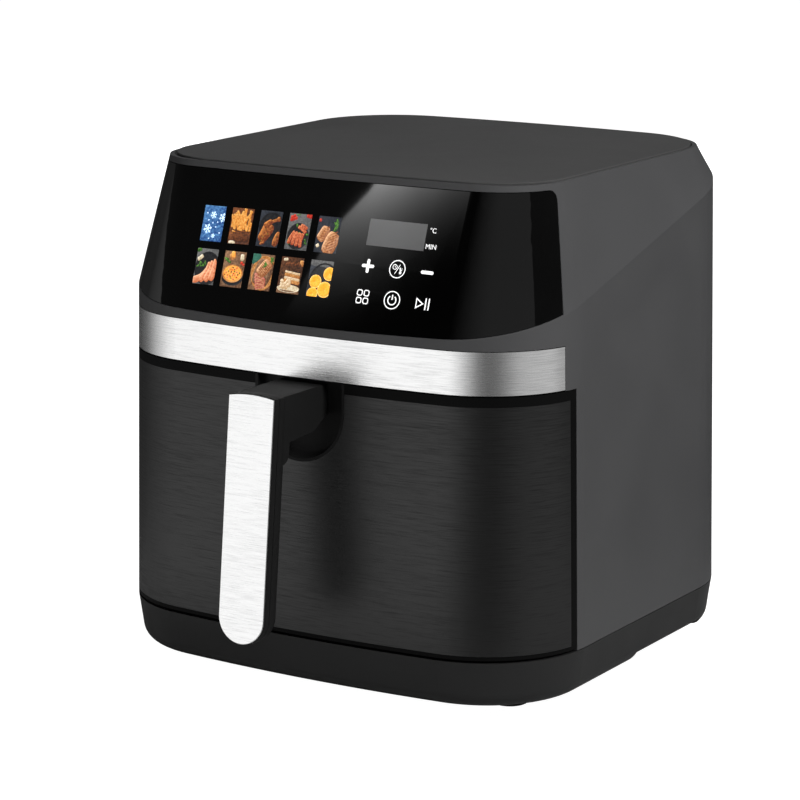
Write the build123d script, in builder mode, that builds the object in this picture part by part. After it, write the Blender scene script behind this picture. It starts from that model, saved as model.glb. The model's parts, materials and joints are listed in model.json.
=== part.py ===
"""Drawer-type air fryer, as separate pieces. Millimetres, +Z up, front towards -Y.

The origin is the centre of the footprint, on the surface that the feet stand on.
The outer body is one drafted prism with a bowed front; above a tilted crease plane it leans in to a smaller
rim. Every outer piece is cut from that same envelope, at its own inset, so the pieces line up.
"""

from build123d import *
from math import cos, radians, sin, sqrt, tan
import os

# ---- Outer body ------------------------------------------------------------------------------------------
WIDTH = 300.0
DEPTH = 291.0
DRAFT = 1.0  # degrees, each wall
CORNER_FRONT = 66.0
CORNER_REAR = 70.0
BOW_FRONT = 5.4  # degrees that the front turns before its corner starts
BOW_REAR = 5.8
WALL = 2.6
BASE_BOTTOM = 11.0
BASE_TOP = 39.0
GAP = 0.4  # shadow gap between outer pieces

# ---- Crown: the part above the crease, which leans in to the rim -----------------------------------------
CREASE_FRONT_Z = 221.3
CREASE_FRONT_Y = -142.3
CREASE_TILT = 15.1  # degrees
RIM_Z = 306.0
RIM_WIDTH = 261.0
RIM_FRONT = -112.3
RIM_REAR = 135.3
RIM_CORNER_FRONT = 38.0
RIM_CORNER_REAR = 50.0
RIM_BOW_FRONT = 2.6
RIM_BOW_REAR = 4.2
PANEL_LEAN = 19.5  # degrees from vertical
PANEL_TOP = 302.2
PRINT = 0.3  # thickness of what is printed and lit in the panel

# ---- Front -----------------------------------------------------------------------------------------------
DOOR_BOTTOM = 40.6
DOOR_TOP = 191.4
DOOR_REAR = -83.5
DOOR_WALL = 2.4
SKIN = 0.8
SKIN_BOTTOM = 43.0
SKIN_TOP = 185.8
SKIN_REAR = -88.5
BAND = 1.3
BAND_BOTTOM = 192.4
BAND_TOP = 216.9
BAND_REAR = -92.6
POCKET_R = 30.3
POCKET_LIP = 1.6
POCKET_Z = 174.0
POCKET_FLOOR = -136.2
POCKET_BACK = -133.8

# ---- Handle ----------------------------------------------------------------------------------------------
GRIP_LEAN = 5.8  # degrees, outwards going down
GRIP_TOP = (0, -190.1, 191.5)
GRIP_HALF = 15.5
GRIP_LENGTH = 142.2
GRIP_STRIP = 1.0  # depths behind the front of the grip
GRIP_PARTING = 5.5
GRIP_DEEP = 18.0
NECK_HALF = 15.0

# ---- Cooking chamber, drawer and what stands between them ------------------------------------------------
HEART_Y = -10.0  # fan axis, over the middle of the pan
CORE_FRONT = -120.0  # front of the frame that the door closes on
CORE_HALF = 122.0
CORE_WALL = 2.0
CORE_REAR = -80.2
CORE_TOP = 194.7
MOUTH_HALF = 109.0
MOUTH_LOW = 46.6
MOUTH_HIGH = 178.0
CHAMBER_HALF = 111.0
CHAMBER_REAR = 103.0
CHAMBER_LOW = 45.0
CHAMBER_HIGH = 223.0
SHEET = 1.0
PAN_HALF = 105.0
PAN_FRONT = -116.0
PAN_REAR = 96.0
PAN_LOW = 50.0
PAN_HIGH = 172.0
PAN_WALL = 1.4
PAN_FLANGE = 2.5
DOOR_BACK_REAR = -122.2
DOOR_BACK_FRONT = -124.5

os.makedirs("parts", exist_ok=True)


def write(builder, label):
    builder.part.label = label
    export_step(builder.part, f"parts/{label}.step")


def plan(width, front, rear, r_front, r_rear, bow_front, bow_rear, z=0.0):
    """Face of the plan outline: bowed front and rear, straight sides, tangent corner arcs."""

    def half(radius, bow, y, inward):
        turn = radians(bow)
        big = (width / 2 - radius * (1 - sin(turn))) / sin(turn)
        bow_end = (big * sin(turn), y + inward * big * (1 - cos(turn)))
        side_end = (width / 2, bow_end[1] + inward * radius * cos(turn))
        return big, bow_end, side_end

    big_f, f1, f2 = half(r_front, bow_front, front, 1)
    big_r, b1, b2 = half(r_rear, bow_rear, rear, -1)
    with BuildSketch(Plane.XY.offset(z)) as face:
        with BuildLine():
            RadiusArc((-f1[0], f1[1]), f1, -big_f)
            RadiusArc(f1, f2, -r_front)
            Line(f2, b2)
            RadiusArc(b2, b1, -r_rear)
            RadiusArc(b1, (-b1[0], b1[1]), -big_r)
            RadiusArc((-b1[0], b1[1]), (-b2[0], b2[1]), -r_rear)
            Line((-b2[0], b2[1]), (-f2[0], f2[1]))
            RadiusArc((-f2[0], f2[1]), (-f1[0], f1[1]), -r_front)
        make_face()
    return face.sketch.faces()[0]


def body_plan(inset, z):
    """The body's plan outline at height z, moved in by inset."""
    i = inset + tan(radians(DRAFT)) * (z - BASE_TOP)
    return plan(
        WIDTH - 2 * i,
        i - DEPTH / 2,
        DEPTH / 2 - i,
        CORNER_FRONT - i,
        CORNER_REAR - i,
        BOW_FRONT,
        BOW_REAR,
        z,
    )


def rim_plan(inset, z=RIM_Z, round_more=0.0):
    return plan(
        RIM_WIDTH - 2 * inset,
        RIM_FRONT + inset,
        RIM_REAR - inset,
        RIM_CORNER_FRONT - inset + round_more,
        RIM_CORNER_REAR - inset + round_more,
        RIM_BOW_FRONT,
        RIM_BOW_REAR,
        z,
    )


def prism(inset, low, high):
    """Drafted prism of the body, from low to high."""
    with BuildPart() as made:
        add(body_plan(inset, low))
        extrude(amount=high - low, taper=DRAFT)
    return made.part


CREASE = Plane(
    origin=(0, CREASE_FRONT_Y, CREASE_FRONT_Z),
    z_dir=(0, -sin(radians(CREASE_TILT)), cos(radians(CREASE_TILT))),
)
PANEL = Plane(
    origin=(0, CREASE_FRONT_Y, CREASE_FRONT_Z),
    x_dir=(1, 0, 0),
    z_dir=(0, -cos(radians(PANEL_LEAN)), sin(radians(PANEL_LEAN))),
)


def envelope(inset, low):
    """Whole outer body from low up to the rim, moved in by inset."""
    with BuildPart() as made:
        add(prism(inset, low, RIM_Z))
        split(bisect_by=CREASE, keep=Keep.BOTTOM)
        crease = made.faces().filter_by(lambda f: abs(f.normal_at().dot(CREASE.z_dir)) > 0.999)[0]
        add(loft([crease, rim_plan(inset)], ruled=True, mode=Mode.PRIVATE))
    return made.part


def block(x0, x1, y0, y1, z0, z1):
    """Plain box between two corners, for cutting and trimming."""
    with BuildPart() as made:
        with Locations(((x0 + x1) / 2, (y0 + y1) / 2, (z0 + z1) / 2)):
            Box(x1 - x0, y1 - y0, z1 - z0)
    return made.part


def rod(centre, radius, length, axis=(0, 0, 1)):
    """Cylinder standing on its centre point, along axis."""
    with BuildPart() as made:
        with BuildSketch(Plane(origin=centre, z_dir=axis)):
            Circle(radius)
        extrude(amount=length)
    return made.part


def screw(head, direction, length, head_r=3.2, shank_r=1.5):
    """Pan-head screw: head is the point under the head, direction is the way the shank goes."""
    d = Vector(*direction)
    with BuildPart() as made:
        add(rod(head, shank_r, length, direction))
        add(rod(tuple(Vector(*head) - d * 2.0), head_r, 2.0, direction))
        circles = made.edges().filter_by(GeomType.CIRCLE)
        rim = circles.sort_by(lambda e: (e.center() - Vector(*head)).dot(d))[0]
        fillet(rim, 0.9)
        with BuildSketch(Plane(origin=tuple(Vector(*head) - d * 2.0), z_dir=direction)):
            Rectangle(0.8, 3.6)
            Rectangle(3.6, 0.8)
        extrude(amount=1.0, mode=Mode.SUBTRACT)
    return made.part


FAR = 200.0
OUTER = envelope(0, BASE_TOP + GAP)

# ---- Housing ---------------------------------------------------------------------------------------------
VENT_HALF = 46.0
VENT_LOW = 196.0
VENT_HIGH = 238.0
GLAND_X = 60.0
GLAND_Z = 64.0
GLAND_R = 8.0
CORD_R = 3.6


def panel_window(grow):
    """Prism across the whole width that bounds the control panel, seen from the side."""
    rise = tan(radians(CREASE_TILT))

    def above_crease(y):
        return CREASE_FRONT_Z + rise * (y - CREASE_FRONT_Y) + 0.9 - grow

    with BuildPart() as made:
        with BuildSketch(Plane.YZ.offset(-FAR)):
            with BuildLine():
                Polyline(
                    (-FAR, above_crease(-FAR)),
                    (-93.8 + grow, above_crease(-93.8 + grow)),
                    (-79.5 + grow, PANEL_TOP + grow),
                    (-FAR, PANEL_TOP + grow),
                    close=True,
                )
            face = make_face()
            fillet(face.vertices().sort_by(Axis.Y)[-2:], 5.0)
        extrude(amount=2 * FAR)
    return made.part


with BuildPart() as band_seat:
    add(prism(-1, DOOR_TOP, BAND_TOP + GAP))
    add(prism(BAND, DOOR_TOP - 1, BAND_TOP + 1), mode=Mode.SUBTRACT)
    add(block(-FAR, FAR, -FAR, BAND_REAR + GAP, 0, 2 * FAR), mode=Mode.INTERSECT)

with BuildPart() as housing_shell:
    add(OUTER)
    add(envelope(WALL, BASE_TOP - 1), mode=Mode.SUBTRACT)
    add(block(-FAR, FAR, -FAR, DOOR_REAR + GAP, 0, DOOR_TOP + GAP), mode=Mode.SUBTRACT)
    add(band_seat.part, mode=Mode.SUBTRACT)
    add(panel_window(GAP), mode=Mode.SUBTRACT)
    add(block(-VENT_HALF, VENT_HALF, 120, FAR, VENT_LOW, VENT_HIGH), mode=Mode.SUBTRACT)
    add(rod((GLAND_X, 120, GLAND_Z), GLAND_R, 50, (0, 1, 0)), mode=Mode.SUBTRACT)
write(housing_shell, "housing_shell")

with BuildPart() as steel_band:
    add(prism(0, BAND_BOTTOM, BAND_TOP))
    add(prism(BAND, BAND_BOTTOM - 1, BAND_TOP + 1), mode=Mode.SUBTRACT)
    add(block(-FAR, FAR, -FAR, BAND_REAR, 0, 2 * FAR), mode=Mode.INTERSECT)
write(steel_band, "steel_band")

with BuildPart() as rear_vent_cover:
    add(prism(0, VENT_LOW + 0.2, VENT_HIGH - 0.2))
    add(prism(WALL, VENT_LOW - 1, VENT_HIGH + 1), mode=Mode.SUBTRACT)
    add(block(0.2 - VENT_HALF, VENT_HALF - 0.2, 120, FAR, 0, 2 * FAR), mode=Mode.INTERSECT)
    with BuildSketch(Plane.XZ.offset(-FAR)):
        with Locations((0, (VENT_LOW + VENT_HIGH) / 2)):
            with GridLocations(0, 5.6, 1, 6):
                SlotOverall(80, 2.8)
    extrude(amount=FAR - 120, mode=Mode.SUBTRACT)
write(rear_vent_cover, "rear_vent_cover")

with BuildPart() as cord_gland:
    add(rod((GLAND_X, 138, GLAND_Z), 11.5, 10.5, (0, 1, 0)))
    fillet(cord_gland.edges().group_by(Axis.Y)[-1], 2.0)
    add(prism(0, GLAND_Z - 20, GLAND_Z + 20), mode=Mode.SUBTRACT)
    add(rod((GLAND_X, 136, GLAND_Z), GLAND_R - 0.1, 10.5, (0, 1, 0)))
    add(rod((GLAND_X, 130, GLAND_Z), CORD_R, 30, (0, 1, 0)), mode=Mode.SUBTRACT)
write(cord_gland, "cord_gland")

# ---- Top -------------------------------------------------------------------------------------------------
TRIM_T = 1.6
COVER_T = 1.2


def rim_ring(outer, inner, low, high):
    """Ring between two insets of the rim outline."""
    with BuildPart() as made:
        with BuildSketch(Plane.XY.offset(low)):
            add(rim_plan(outer, low))
            add(rim_plan(inner, low), mode=Mode.SUBTRACT)
        extrude(amount=high - low)
    return made.part


with BuildPart() as top_trim:
    add(rim_ring(WALL, 16.0, RIM_Z - TRIM_T, RIM_Z))
write(top_trim, "top_trim")

with BuildPart() as top_cover:
    with BuildSketch(Plane.XY.offset(RIM_Z)):
        add(rim_plan(1.5, RIM_Z, round_more=7.0))
    extrude(amount=COVER_T)
    fillet(top_cover.edges().group_by(Axis.Z)[-1], 0.5)
    add(rim_ring(16.3, 18.0, RIM_Z - 4.0, RIM_Z))
write(top_cover, "top_cover")

# ---- Control panel ---------------------------------------------------------------------------------------
PICTURE_X = -72.6
PICTURE_PITCH = 20.1
PICTURE_W = 15.3
PICTURE_H = 21.0
PICTURE_ROWS = (54.3, 28.9)
KEY_R = 5.2
KEY_COLUMNS = (37.8, 56.8, 75.8)
KEY_ROWS = (39.2, 21.6)
DISPLAY_AT = (52.6, 58.5)
DISPLAY_W = 37.0
DISPLAY_H = 15.2
THROUGH = 24.0  # depth that reaches through the bowed panel from a plane behind it

with BuildPart() as print_layer:
    add(OUTER)
    add(envelope(PRINT, BASE_TOP), mode=Mode.SUBTRACT)
    add(block(-100, 100, -FAR, -100, CREASE_FRONT_Z + 1, PANEL_TOP), mode=Mode.INTERSECT)

with BuildPart() as menu_pictures:
    with BuildSketch(PANEL.offset(-THROUGH / 2)):
        with Locations(*[(PICTURE_X + PICTURE_PITCH * k, row) for row in PICTURE_ROWS for k in range(5)]):
            Rectangle(PICTURE_W, PICTURE_H)
    extrude(amount=THROUGH)
    add(print_layer.part, mode=Mode.INTERSECT)
write(menu_pictures, "menu_pictures")

with BuildPart() as time_display:
    with BuildSketch(PANEL.offset(-THROUGH / 2)):
        with Locations(DISPLAY_AT):
            Rectangle(DISPLAY_W, DISPLAY_H)
    extrude(amount=THROUGH)
    add(print_layer.part, mode=Mode.INTERSECT)
write(time_display, "time_display")

with BuildPart() as touch_icons:
    with BuildSketch(PANEL.offset(-THROUGH / 2)):
        with Locations((KEY_COLUMNS[0], KEY_ROWS[0])):
            SlotOverall(8.0, 1.9)
            SlotOverall(8.0, 1.9, rotation=90)
        with Locations((KEY_COLUMNS[2], KEY_ROWS[0])):
            SlotOverall(8.0, 1.9)
        with Locations((KEY_COLUMNS[1], KEY_ROWS[0]), (KEY_COLUMNS[1], KEY_ROWS[1])):
            Circle(KEY_R)
            Circle(KEY_R - 0.6, mode=Mode.SUBTRACT)
        with Locations((KEY_COLUMNS[0], KEY_ROWS[1])):
            with GridLocations(4.4, 4.4, 2, 2):
                RectangleRounded(3.7, 3.7, 1.2)
                RectangleRounded(2.5, 2.5, 0.8, mode=Mode.SUBTRACT)
        with Locations((KEY_COLUMNS[2] - 2.2, KEY_ROWS[1])):
            Triangle(a=6.4, b=6.0, c=6.0, rotation=-90)
            Triangle(a=4.0, b=3.75, c=3.75, rotation=-90, mode=Mode.SUBTRACT)
        with Locations((KEY_COLUMNS[2] + 2.3, KEY_ROWS[1]), (KEY_COLUMNS[2] + 4.3, KEY_ROWS[1])):
            SlotOverall(6.8, 0.8, rotation=90)
    extrude(amount=THROUGH)
    add(print_layer.part, mode=Mode.INTERSECT)
write(touch_icons, "touch_icons")

with BuildPart() as control_panel:
    add(OUTER)
    add(envelope(WALL, BASE_TOP), mode=Mode.SUBTRACT)
    add(panel_window(0), mode=Mode.INTERSECT)
    add(menu_pictures.part, mode=Mode.SUBTRACT)
    add(time_display.part, mode=Mode.SUBTRACT)
    add(touch_icons.part, mode=Mode.SUBTRACT)
write(control_panel, "control_panel")

with BuildPart() as panel_carrier:
    add(envelope(WALL, CORE_TOP + 2))
    add(envelope(WALL + 2, CORE_TOP), mode=Mode.SUBTRACT)
    add(panel_window(2), mode=Mode.INTERSECT)
write(panel_carrier, "panel_carrier")

with BuildPart() as touch_board:
    with BuildSketch(PANEL.offset(-13.6)):
        with Locations((0, 42)):
            RectangleRounded(176, 58, 3)
    extrude(amount=1.6)
write(touch_board, "touch_board")

# ---- Base ------------------------------------------------------------------------------------------------
BASE_TAPER = 8.0
BASE_ROUND = 10.0
BASE_SPLIT = 17.2
FLOOR = 14.0
POSTS = [(x, y) for x in (-80, 80) for y in (-60, 60)]
FOOT_X = 103.0
FOOT_Y = 79.0
FOOT_R = 11.7


def base_form(inset):
    with BuildPart() as made:
        add(body_plan(inset, BASE_TOP))
        extrude(amount=BASE_TOP - BASE_BOTTOM, dir=(0, 0, -1), taper=BASE_TAPER)
    return made.part


with BuildPart() as base_block:
    add(base_form(0))
    fillet(base_block.edges().group_by(Axis.Z)[0], BASE_ROUND)

with BuildPart() as base_housing:
    add(base_block.part)
    add(block(-FAR, FAR, -FAR, FAR, 0, BASE_SPLIT), mode=Mode.SUBTRACT)
    with BuildSketch(Plane.XY.offset(BASE_SPLIT)):
        add(body_plan(45, BASE_SPLIT))
    extrude(amount=10, mode=Mode.SUBTRACT)
    add(base_form(WALL) - block(-FAR, FAR, -FAR, FAR, 0, BASE_SPLIT + 2), mode=Mode.SUBTRACT)
write(base_housing, "base_housing")

with BuildPart() as base_plate:
    add(base_block.part)
    add(block(-FAR, FAR, -FAR, FAR, BASE_SPLIT, FAR), mode=Mode.SUBTRACT)
    with BuildSketch(Plane.XY.offset(FLOOR)):
        add(body_plan(36, FLOOR))
    extrude(amount=10, mode=Mode.SUBTRACT)
    for side in (-1, 1):
        with BuildSketch(Plane.YZ.offset(side * 118)):
            low = BASE_BOTTOM - 1
            Polygon((-9, low), (86, low), (81, BASE_SPLIT), (-4, BASE_SPLIT), align=None)
        extrude(amount=side * 60, mode=Mode.SUBTRACT)
    with BuildSketch(Plane.XY):
        with GridLocations(12, 0, 9, 1):
            SlotOverall(60, 4, rotation=90)
        with GridLocations(2 * FOOT_X, 2 * FOOT_Y, 2, 2):
            Circle(3.1)
        with Locations(*POSTS):
            Circle(1.7)
    extrude(amount=BASE_SPLIT, mode=Mode.SUBTRACT)
    with BuildSketch(Plane.XY):
        with Locations(*POSTS):
            Circle(3.6)
    extrude(amount=BASE_BOTTOM + 2, mode=Mode.SUBTRACT)
write(base_plate, "base_plate")

for foot_name, foot_x, foot_y in (
    ("foot_front_left", -FOOT_X, -FOOT_Y),
    ("foot_front_right", FOOT_X, -FOOT_Y),
    ("foot_rear_left", -FOOT_X, FOOT_Y),
    ("foot_rear_right", FOOT_X, FOOT_Y),
):
    with BuildPart() as foot:
        add(rod((foot_x, foot_y, 0), FOOT_R, BASE_BOTTOM))
        fillet(foot.edges().group_by(Axis.Z)[0], 2.2)
        add(rod((foot_x, foot_y, BASE_BOTTOM), 3.0, 4.5))
    write(foot, foot_name)

with BuildPart() as chamber_supports:
    for x, y in POSTS:
        add(rod((x, y, FLOOR), 6, CHAMBER_LOW - FLOOR))
        add(rod((x, y, FLOOR), 1.5, 14), mode=Mode.SUBTRACT)
write(chamber_supports, "chamber_supports")

with BuildPart() as base_screws:
    for x, y in POSTS:
        add(screw((x, y, BASE_BOTTOM + 2), (0, 0, 1), 12))
write(base_screws, "base_screws")

# ---- Frame that the door closes on -----------------------------------------------------------------------
MOUTH_ROUND = 5.0
SWITCH_X = 115.5
SWITCH_Z = 165.0

with BuildPart() as front_sill:
    add(prism(3.2, 36.6, 38.8))
    add(block(-FAR, FAR, -FAR, CORE_REAR, 0, FAR), mode=Mode.INTERSECT)
write(front_sill, "front_sill")


def mouth(grow, front, rear):
    """Prism of the opening that the pan slides through."""
    with BuildPart() as made:
        with BuildSketch(Plane.XZ.offset(-rear)):
            with Locations((0, (MOUTH_LOW + MOUTH_HIGH) / 2)):
                RectangleRounded(
                    2 * (MOUTH_HALF + grow), MOUTH_HIGH - MOUTH_LOW + 2 * grow, MOUTH_ROUND + grow
                )
        extrude(amount=rear - front)
    return made.part


with BuildPart() as front_frame:
    add(block(-CORE_HALF, CORE_HALF, CORE_FRONT, CORE_FRONT + CORE_WALL, 38.8, CORE_TOP))
    add(block(-FAR, FAR, -FAR, CORE_FRONT + CORE_WALL, CORE_TOP - 2.5, CORE_TOP))
    for side in (-1, 1):
        wall = side * (CORE_HALF - CORE_WALL)
        x0, x1 = sorted((wall, side * CORE_HALF))
        add(block(x0, x1, CORE_FRONT, CORE_REAR, 38.8, CORE_TOP))
        x0, x1 = sorted((wall, side * FAR))
        add(block(x0, x1, CORE_REAR - 2.4, CORE_REAR, 38.8, CORE_TOP))
        add(block(x0, x1, CORE_FRONT, CORE_REAR, CORE_TOP - 2.5, CORE_TOP))
    add(prism(WALL + 0.1, 38.8, CORE_TOP), mode=Mode.INTERSECT)
    add(mouth(0, -130, -110), mode=Mode.SUBTRACT)
    add(rod((SWITCH_X, -130, SWITCH_Z), 1.3, 20, (0, 1, 0)), mode=Mode.SUBTRACT)
write(front_frame, "front_frame")

with BuildPart() as microswitch_body:
    add(block(112.2, 119.8, CORE_FRONT + CORE_WALL, -106, SWITCH_Z - 9, SWITCH_Z + 9))
    add(rod((SWITCH_X, -119, SWITCH_Z), 1.3, 11, (0, 1, 0)), mode=Mode.SUBTRACT)
write(microswitch_body, "microswitch_body")

with BuildPart() as switch_plunger:
    add(rod((SWITCH_X, DOOR_BACK_REAR + 0.3, SWITCH_Z), 1.2, 10, (0, 1, 0)))
    fillet(switch_plunger.edges().group_by(Axis.Y)[0], 0.6)
write(switch_plunger, "switch_plunger")

# ---- Chamber and heater ----------------------------------------------------------------------------------
HEART = Plane((0, HEART_Y, 0))
ELEMENT_Z = 198.0
ELEMENT_R = 3.3
ELEMENT_OUTER = 88.0
ELEMENT_INNER = 70.0
GUARD_Z = 187.0
GUARD_R = 96.0
SHAFT_R = 3.0
MOTOR_SEAT = 244.6
MOTOR_SCREWS = [(x, HEART_Y + y) for x in (-58, 58) for y in (-12, 12)]
EAR_SCREWS = [(x, HEART_Y) for x in (-36, 36)]
TERMINALS = [
    (r * cos(radians(100)), HEART_Y + r * sin(radians(100))) for r in (ELEMENT_INNER, ELEMENT_OUTER)
]
SENSOR_AT = (-62.0, -70.0)


def rounded_box(half, front, rear, low, high, radius, every_corner=True):
    """Upright box with its vertical edges rounded: all four, or the rear two."""
    with BuildPart() as made:
        add(block(-half, half, front, rear, low, high))
        uprights = made.edges().filter_by(Axis.Z).sort_by(Axis.Y)
        fillet(uprights if every_corner else uprights[-2:], radius)
    return made.part


with BuildPart() as chamber:
    chamber_front = CORE_FRONT + CORE_WALL
    add(rounded_box(CHAMBER_HALF, chamber_front, CHAMBER_REAR, CHAMBER_LOW, CHAMBER_HIGH, 30, False))
    add(
        rounded_box(
            CHAMBER_HALF - SHEET,
            -130,
            CHAMBER_REAR - SHEET,
            CHAMBER_LOW + SHEET,
            CHAMBER_HIGH - SHEET,
            29,
            False,
        ),
        mode=Mode.SUBTRACT,
    )
    add(block(-38, 38, 90, 110, 200, 218), mode=Mode.SUBTRACT)
    with BuildSketch(Plane.XY.offset(CHAMBER_HIGH - 5)):
        with Locations((0, HEART_Y)):
            Circle(5.0)
        with Locations(*TERMINALS):
            Circle(ELEMENT_R + 0.7)
        with Locations(SENSOR_AT):
            Circle(2.4)
        with Locations(*MOTOR_SCREWS):
            Circle(1.5)
    extrude(amount=10, mode=Mode.SUBTRACT)
write(chamber, "chamber")

with BuildPart() as exhaust_duct:
    add(block(-42, 42, CHAMBER_REAR, 138, 197.5, 236.5))
    add(block(-41, 41, CHAMBER_REAR - 1, 139, 198.5, 235.5), mode=Mode.SUBTRACT)
write(exhaust_duct, "exhaust_duct")

with BuildPart() as heating_element:
    with BuildLine(HEART.offset(ELEMENT_Z)) as element_path:
        turn = radians(60)
        CenterArc((0, 0), ELEMENT_OUTER, 100, 320)
        ThreePointArc(
            (ELEMENT_OUTER * cos(turn), ELEMENT_OUTER * sin(turn)),
            (79 * cos(turn) - 9 * sin(turn), 79 * sin(turn) + 9 * cos(turn)),
            (ELEMENT_INNER * cos(turn), ELEMENT_INNER * sin(turn)),
        )
        CenterArc((0, 0), ELEMENT_INNER, 60, -320)
    with BuildSketch(Plane(origin=element_path.line @ 0, z_dir=element_path.line % 0)):
        Circle(ELEMENT_R)
    sweep(path=element_path.line)
    for x, y in TERMINALS:
        add(rod((x, y, ELEMENT_Z), ELEMENT_R, 34))
write(heating_element, "heating_element")

with BuildPart() as element_brackets:
    with BuildSketch(HEART.offset(ELEMENT_Z + ELEMENT_R)):
        with PolarLocations(79, 3, start_angle=0, angular_range=360):
            Rectangle(26, 2)
    extrude(amount=CHAMBER_HIGH - SHEET - ELEMENT_Z - ELEMENT_R)
write(element_brackets, "element_brackets")

with BuildPart() as heater_guard:
    with BuildSketch(HEART.offset(GUARD_Z)):
        Circle(GUARD_R)
        Circle(GUARD_R - 3, mode=Mode.SUBTRACT)
        with GridLocations(22, 0, 8, 1):
            Rectangle(2, 2 * GUARD_R - 42)
        Rectangle(2 * GUARD_R - 4, 2)
        for row in (-45, 45):
            with Locations((0, row)):
                Rectangle(2 * sqrt(GUARD_R**2 - 45**2) - 3, 2)
    extrude(amount=1.6)
    with BuildSketch(HEART.offset(GUARD_Z)):
        with PolarLocations(GUARD_R - 1.5, 4, start_angle=45):
            Circle(1.5)
    extrude(amount=CHAMBER_HIGH - SHEET - GUARD_Z)
write(heater_guard, "heater_guard")

with BuildPart() as temperature_sensor:
    add(rod((*SENSOR_AT, 206), 2.0, 24))
    add(rod((*SENSOR_AT, CHAMBER_HIGH), 6.0, 2.0))
write(temperature_sensor, "temperature_sensor")

with BuildPart() as thermal_cutout:
    add(rod((-75, 40, CHAMBER_HIGH), 9.0, 6.0))
    add(rod((-75, 40, CHAMBER_HIGH + 6), 6.0, 3.0))
write(thermal_cutout, "thermal_cutout")

# ---- Fan and motor ---------------------------------------------------------------------------------------


def impeller(low, height, radius, blades):
    """Straight-bladed wheel on a hub, with its disc on top."""
    with BuildPart() as made:
        with BuildSketch(HEART.offset(low)):
            Circle(9)
            with PolarLocations((radius + 4) / 2, blades):
                Rectangle(radius - 8, 1.4)
        extrude(amount=height)
        with BuildSketch(HEART.offset(low + height)):
            Circle(radius)
        extrude(amount=1.2)
        with BuildSketch(HEART.offset(low)):
            Circle(SHAFT_R)
        extrude(amount=height + 2, mode=Mode.SUBTRACT)
    return made


def hex_nut(low):
    with BuildPart() as made:
        with BuildSketch(HEART.offset(low)):
            RegularPolygon(6, 6)
            Circle(SHAFT_R, mode=Mode.SUBTRACT)
        extrude(amount=3.5)
    return made.part


write(impeller(204, 9, 57, 8), "convection_fan")
write(impeller(227, 9, 40, 9), "cooling_fan")

with BuildPart() as motor_shaft:
    add(rod((0, HEART_Y, 199), SHAFT_R, 75))
write(motor_shaft, "motor_shaft")

with BuildPart() as fan_nuts:
    add(hex_nut(200.5))
    add(hex_nut(237.2))
write(fan_nuts, "fan_nuts")

BRIDGE_HALF = 52.0
BRIDGE_T = 1.6

with BuildPart() as motor_bracket:
    y0, y1 = HEART_Y - 22, HEART_Y + 22
    add(block(-BRIDGE_HALF, BRIDGE_HALF, y0, y1, MOTOR_SEAT - BRIDGE_T, MOTOR_SEAT))
    for side in (-1, 1):
        x0, x1 = sorted((side * (BRIDGE_HALF - BRIDGE_T), side * BRIDGE_HALF))
        add(block(x0, x1, y0, y1, CHAMBER_HIGH, MOTOR_SEAT))
        x0, x1 = sorted((side * BRIDGE_HALF, side * (BRIDGE_HALF + 12)))
        add(block(x0, x1, y0, y1, CHAMBER_HIGH, CHAMBER_HIGH + BRIDGE_T))
    add(rod((0, HEART_Y, MOTOR_SEAT - 5), SHAFT_R + 1, 10), mode=Mode.SUBTRACT)
    for x, y in MOTOR_SCREWS:
        add(rod((x, y, CHAMBER_HIGH), 1.5, 4), mode=Mode.SUBTRACT)
    for x, y in EAR_SCREWS:
        add(rod((x, y, MOTOR_SEAT - 4), 1.5, 8), mode=Mode.SUBTRACT)
write(motor_bracket, "motor_bracket")

with BuildPart() as motor_body:
    with BuildSketch(HEART.offset(MOTOR_SEAT)):
        Circle(28)
    extrude(amount=21)
    fillet(motor_body.edges().group_by(Axis.Z)[-1], 3)
    with BuildSketch(HEART.offset(MOTOR_SEAT + 21)):
        Circle(18)
    extrude(amount=5)
    with BuildSketch(HEART.offset(MOTOR_SEAT)):
        SlotOverall(82, 12)
    extrude(amount=3)
    with BuildSketch(HEART.offset(MOTOR_SEAT)):
        Circle(SHAFT_R + 0.06)
        with GridLocations(72, 0, 2, 1):
            Circle(1.5)
    extrude(amount=40, mode=Mode.SUBTRACT)
write(motor_body, "motor_body")

with BuildPart() as motor_screws:
    for x, y in MOTOR_SCREWS:
        add(screw((x, y, CHAMBER_HIGH + 1.6), (0, 0, -1), 6))
    for x, y in EAR_SCREWS:
        add(screw((x, y, MOTOR_SEAT + 3), (0, 0, -1), 6))
write(motor_screws, "motor_screws")

# ---- Electronics -----------------------------------------------------------------------------------------
BOARD_Z = 233.0
BOARD_AT = (88.5, -15.0)

with BuildPart() as power_board:
    with BuildSketch(Plane.XY.offset(BOARD_Z)):
        with Locations(BOARD_AT):
            Rectangle(41, 110)
    extrude(amount=1.6)
write(power_board, "power_board")

with BuildPart() as board_standoffs:
    with BuildSketch(Plane.XY.offset(CHAMBER_HIGH)):
        with Locations(BOARD_AT):
            with GridLocations(33, 100, 2, 2):
                Circle(3)
    extrude(amount=BOARD_Z - CHAMBER_HIGH)
write(board_standoffs, "board_standoffs")

with BuildPart() as board_components:
    with BuildSketch(Plane.XY.offset(BOARD_Z + 1.6)):
        with Locations((88, -48)):
            Rectangle(19, 15)
        with Locations((80, 22)):
            Rectangle(20, 24)
    extrude(amount=16)
    with BuildSketch(Plane.XY.offset(BOARD_Z + 1.6)):
        with Locations((80, -18), (99, -18)):
            Circle(6.5)
    extrude(amount=20)
    with BuildSketch(Plane.XY.offset(BOARD_Z + 1.6)):
        with Locations((102, 12)):
            Rectangle(9, 36)
    extrude(amount=9)
write(board_components, "board_components")

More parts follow.
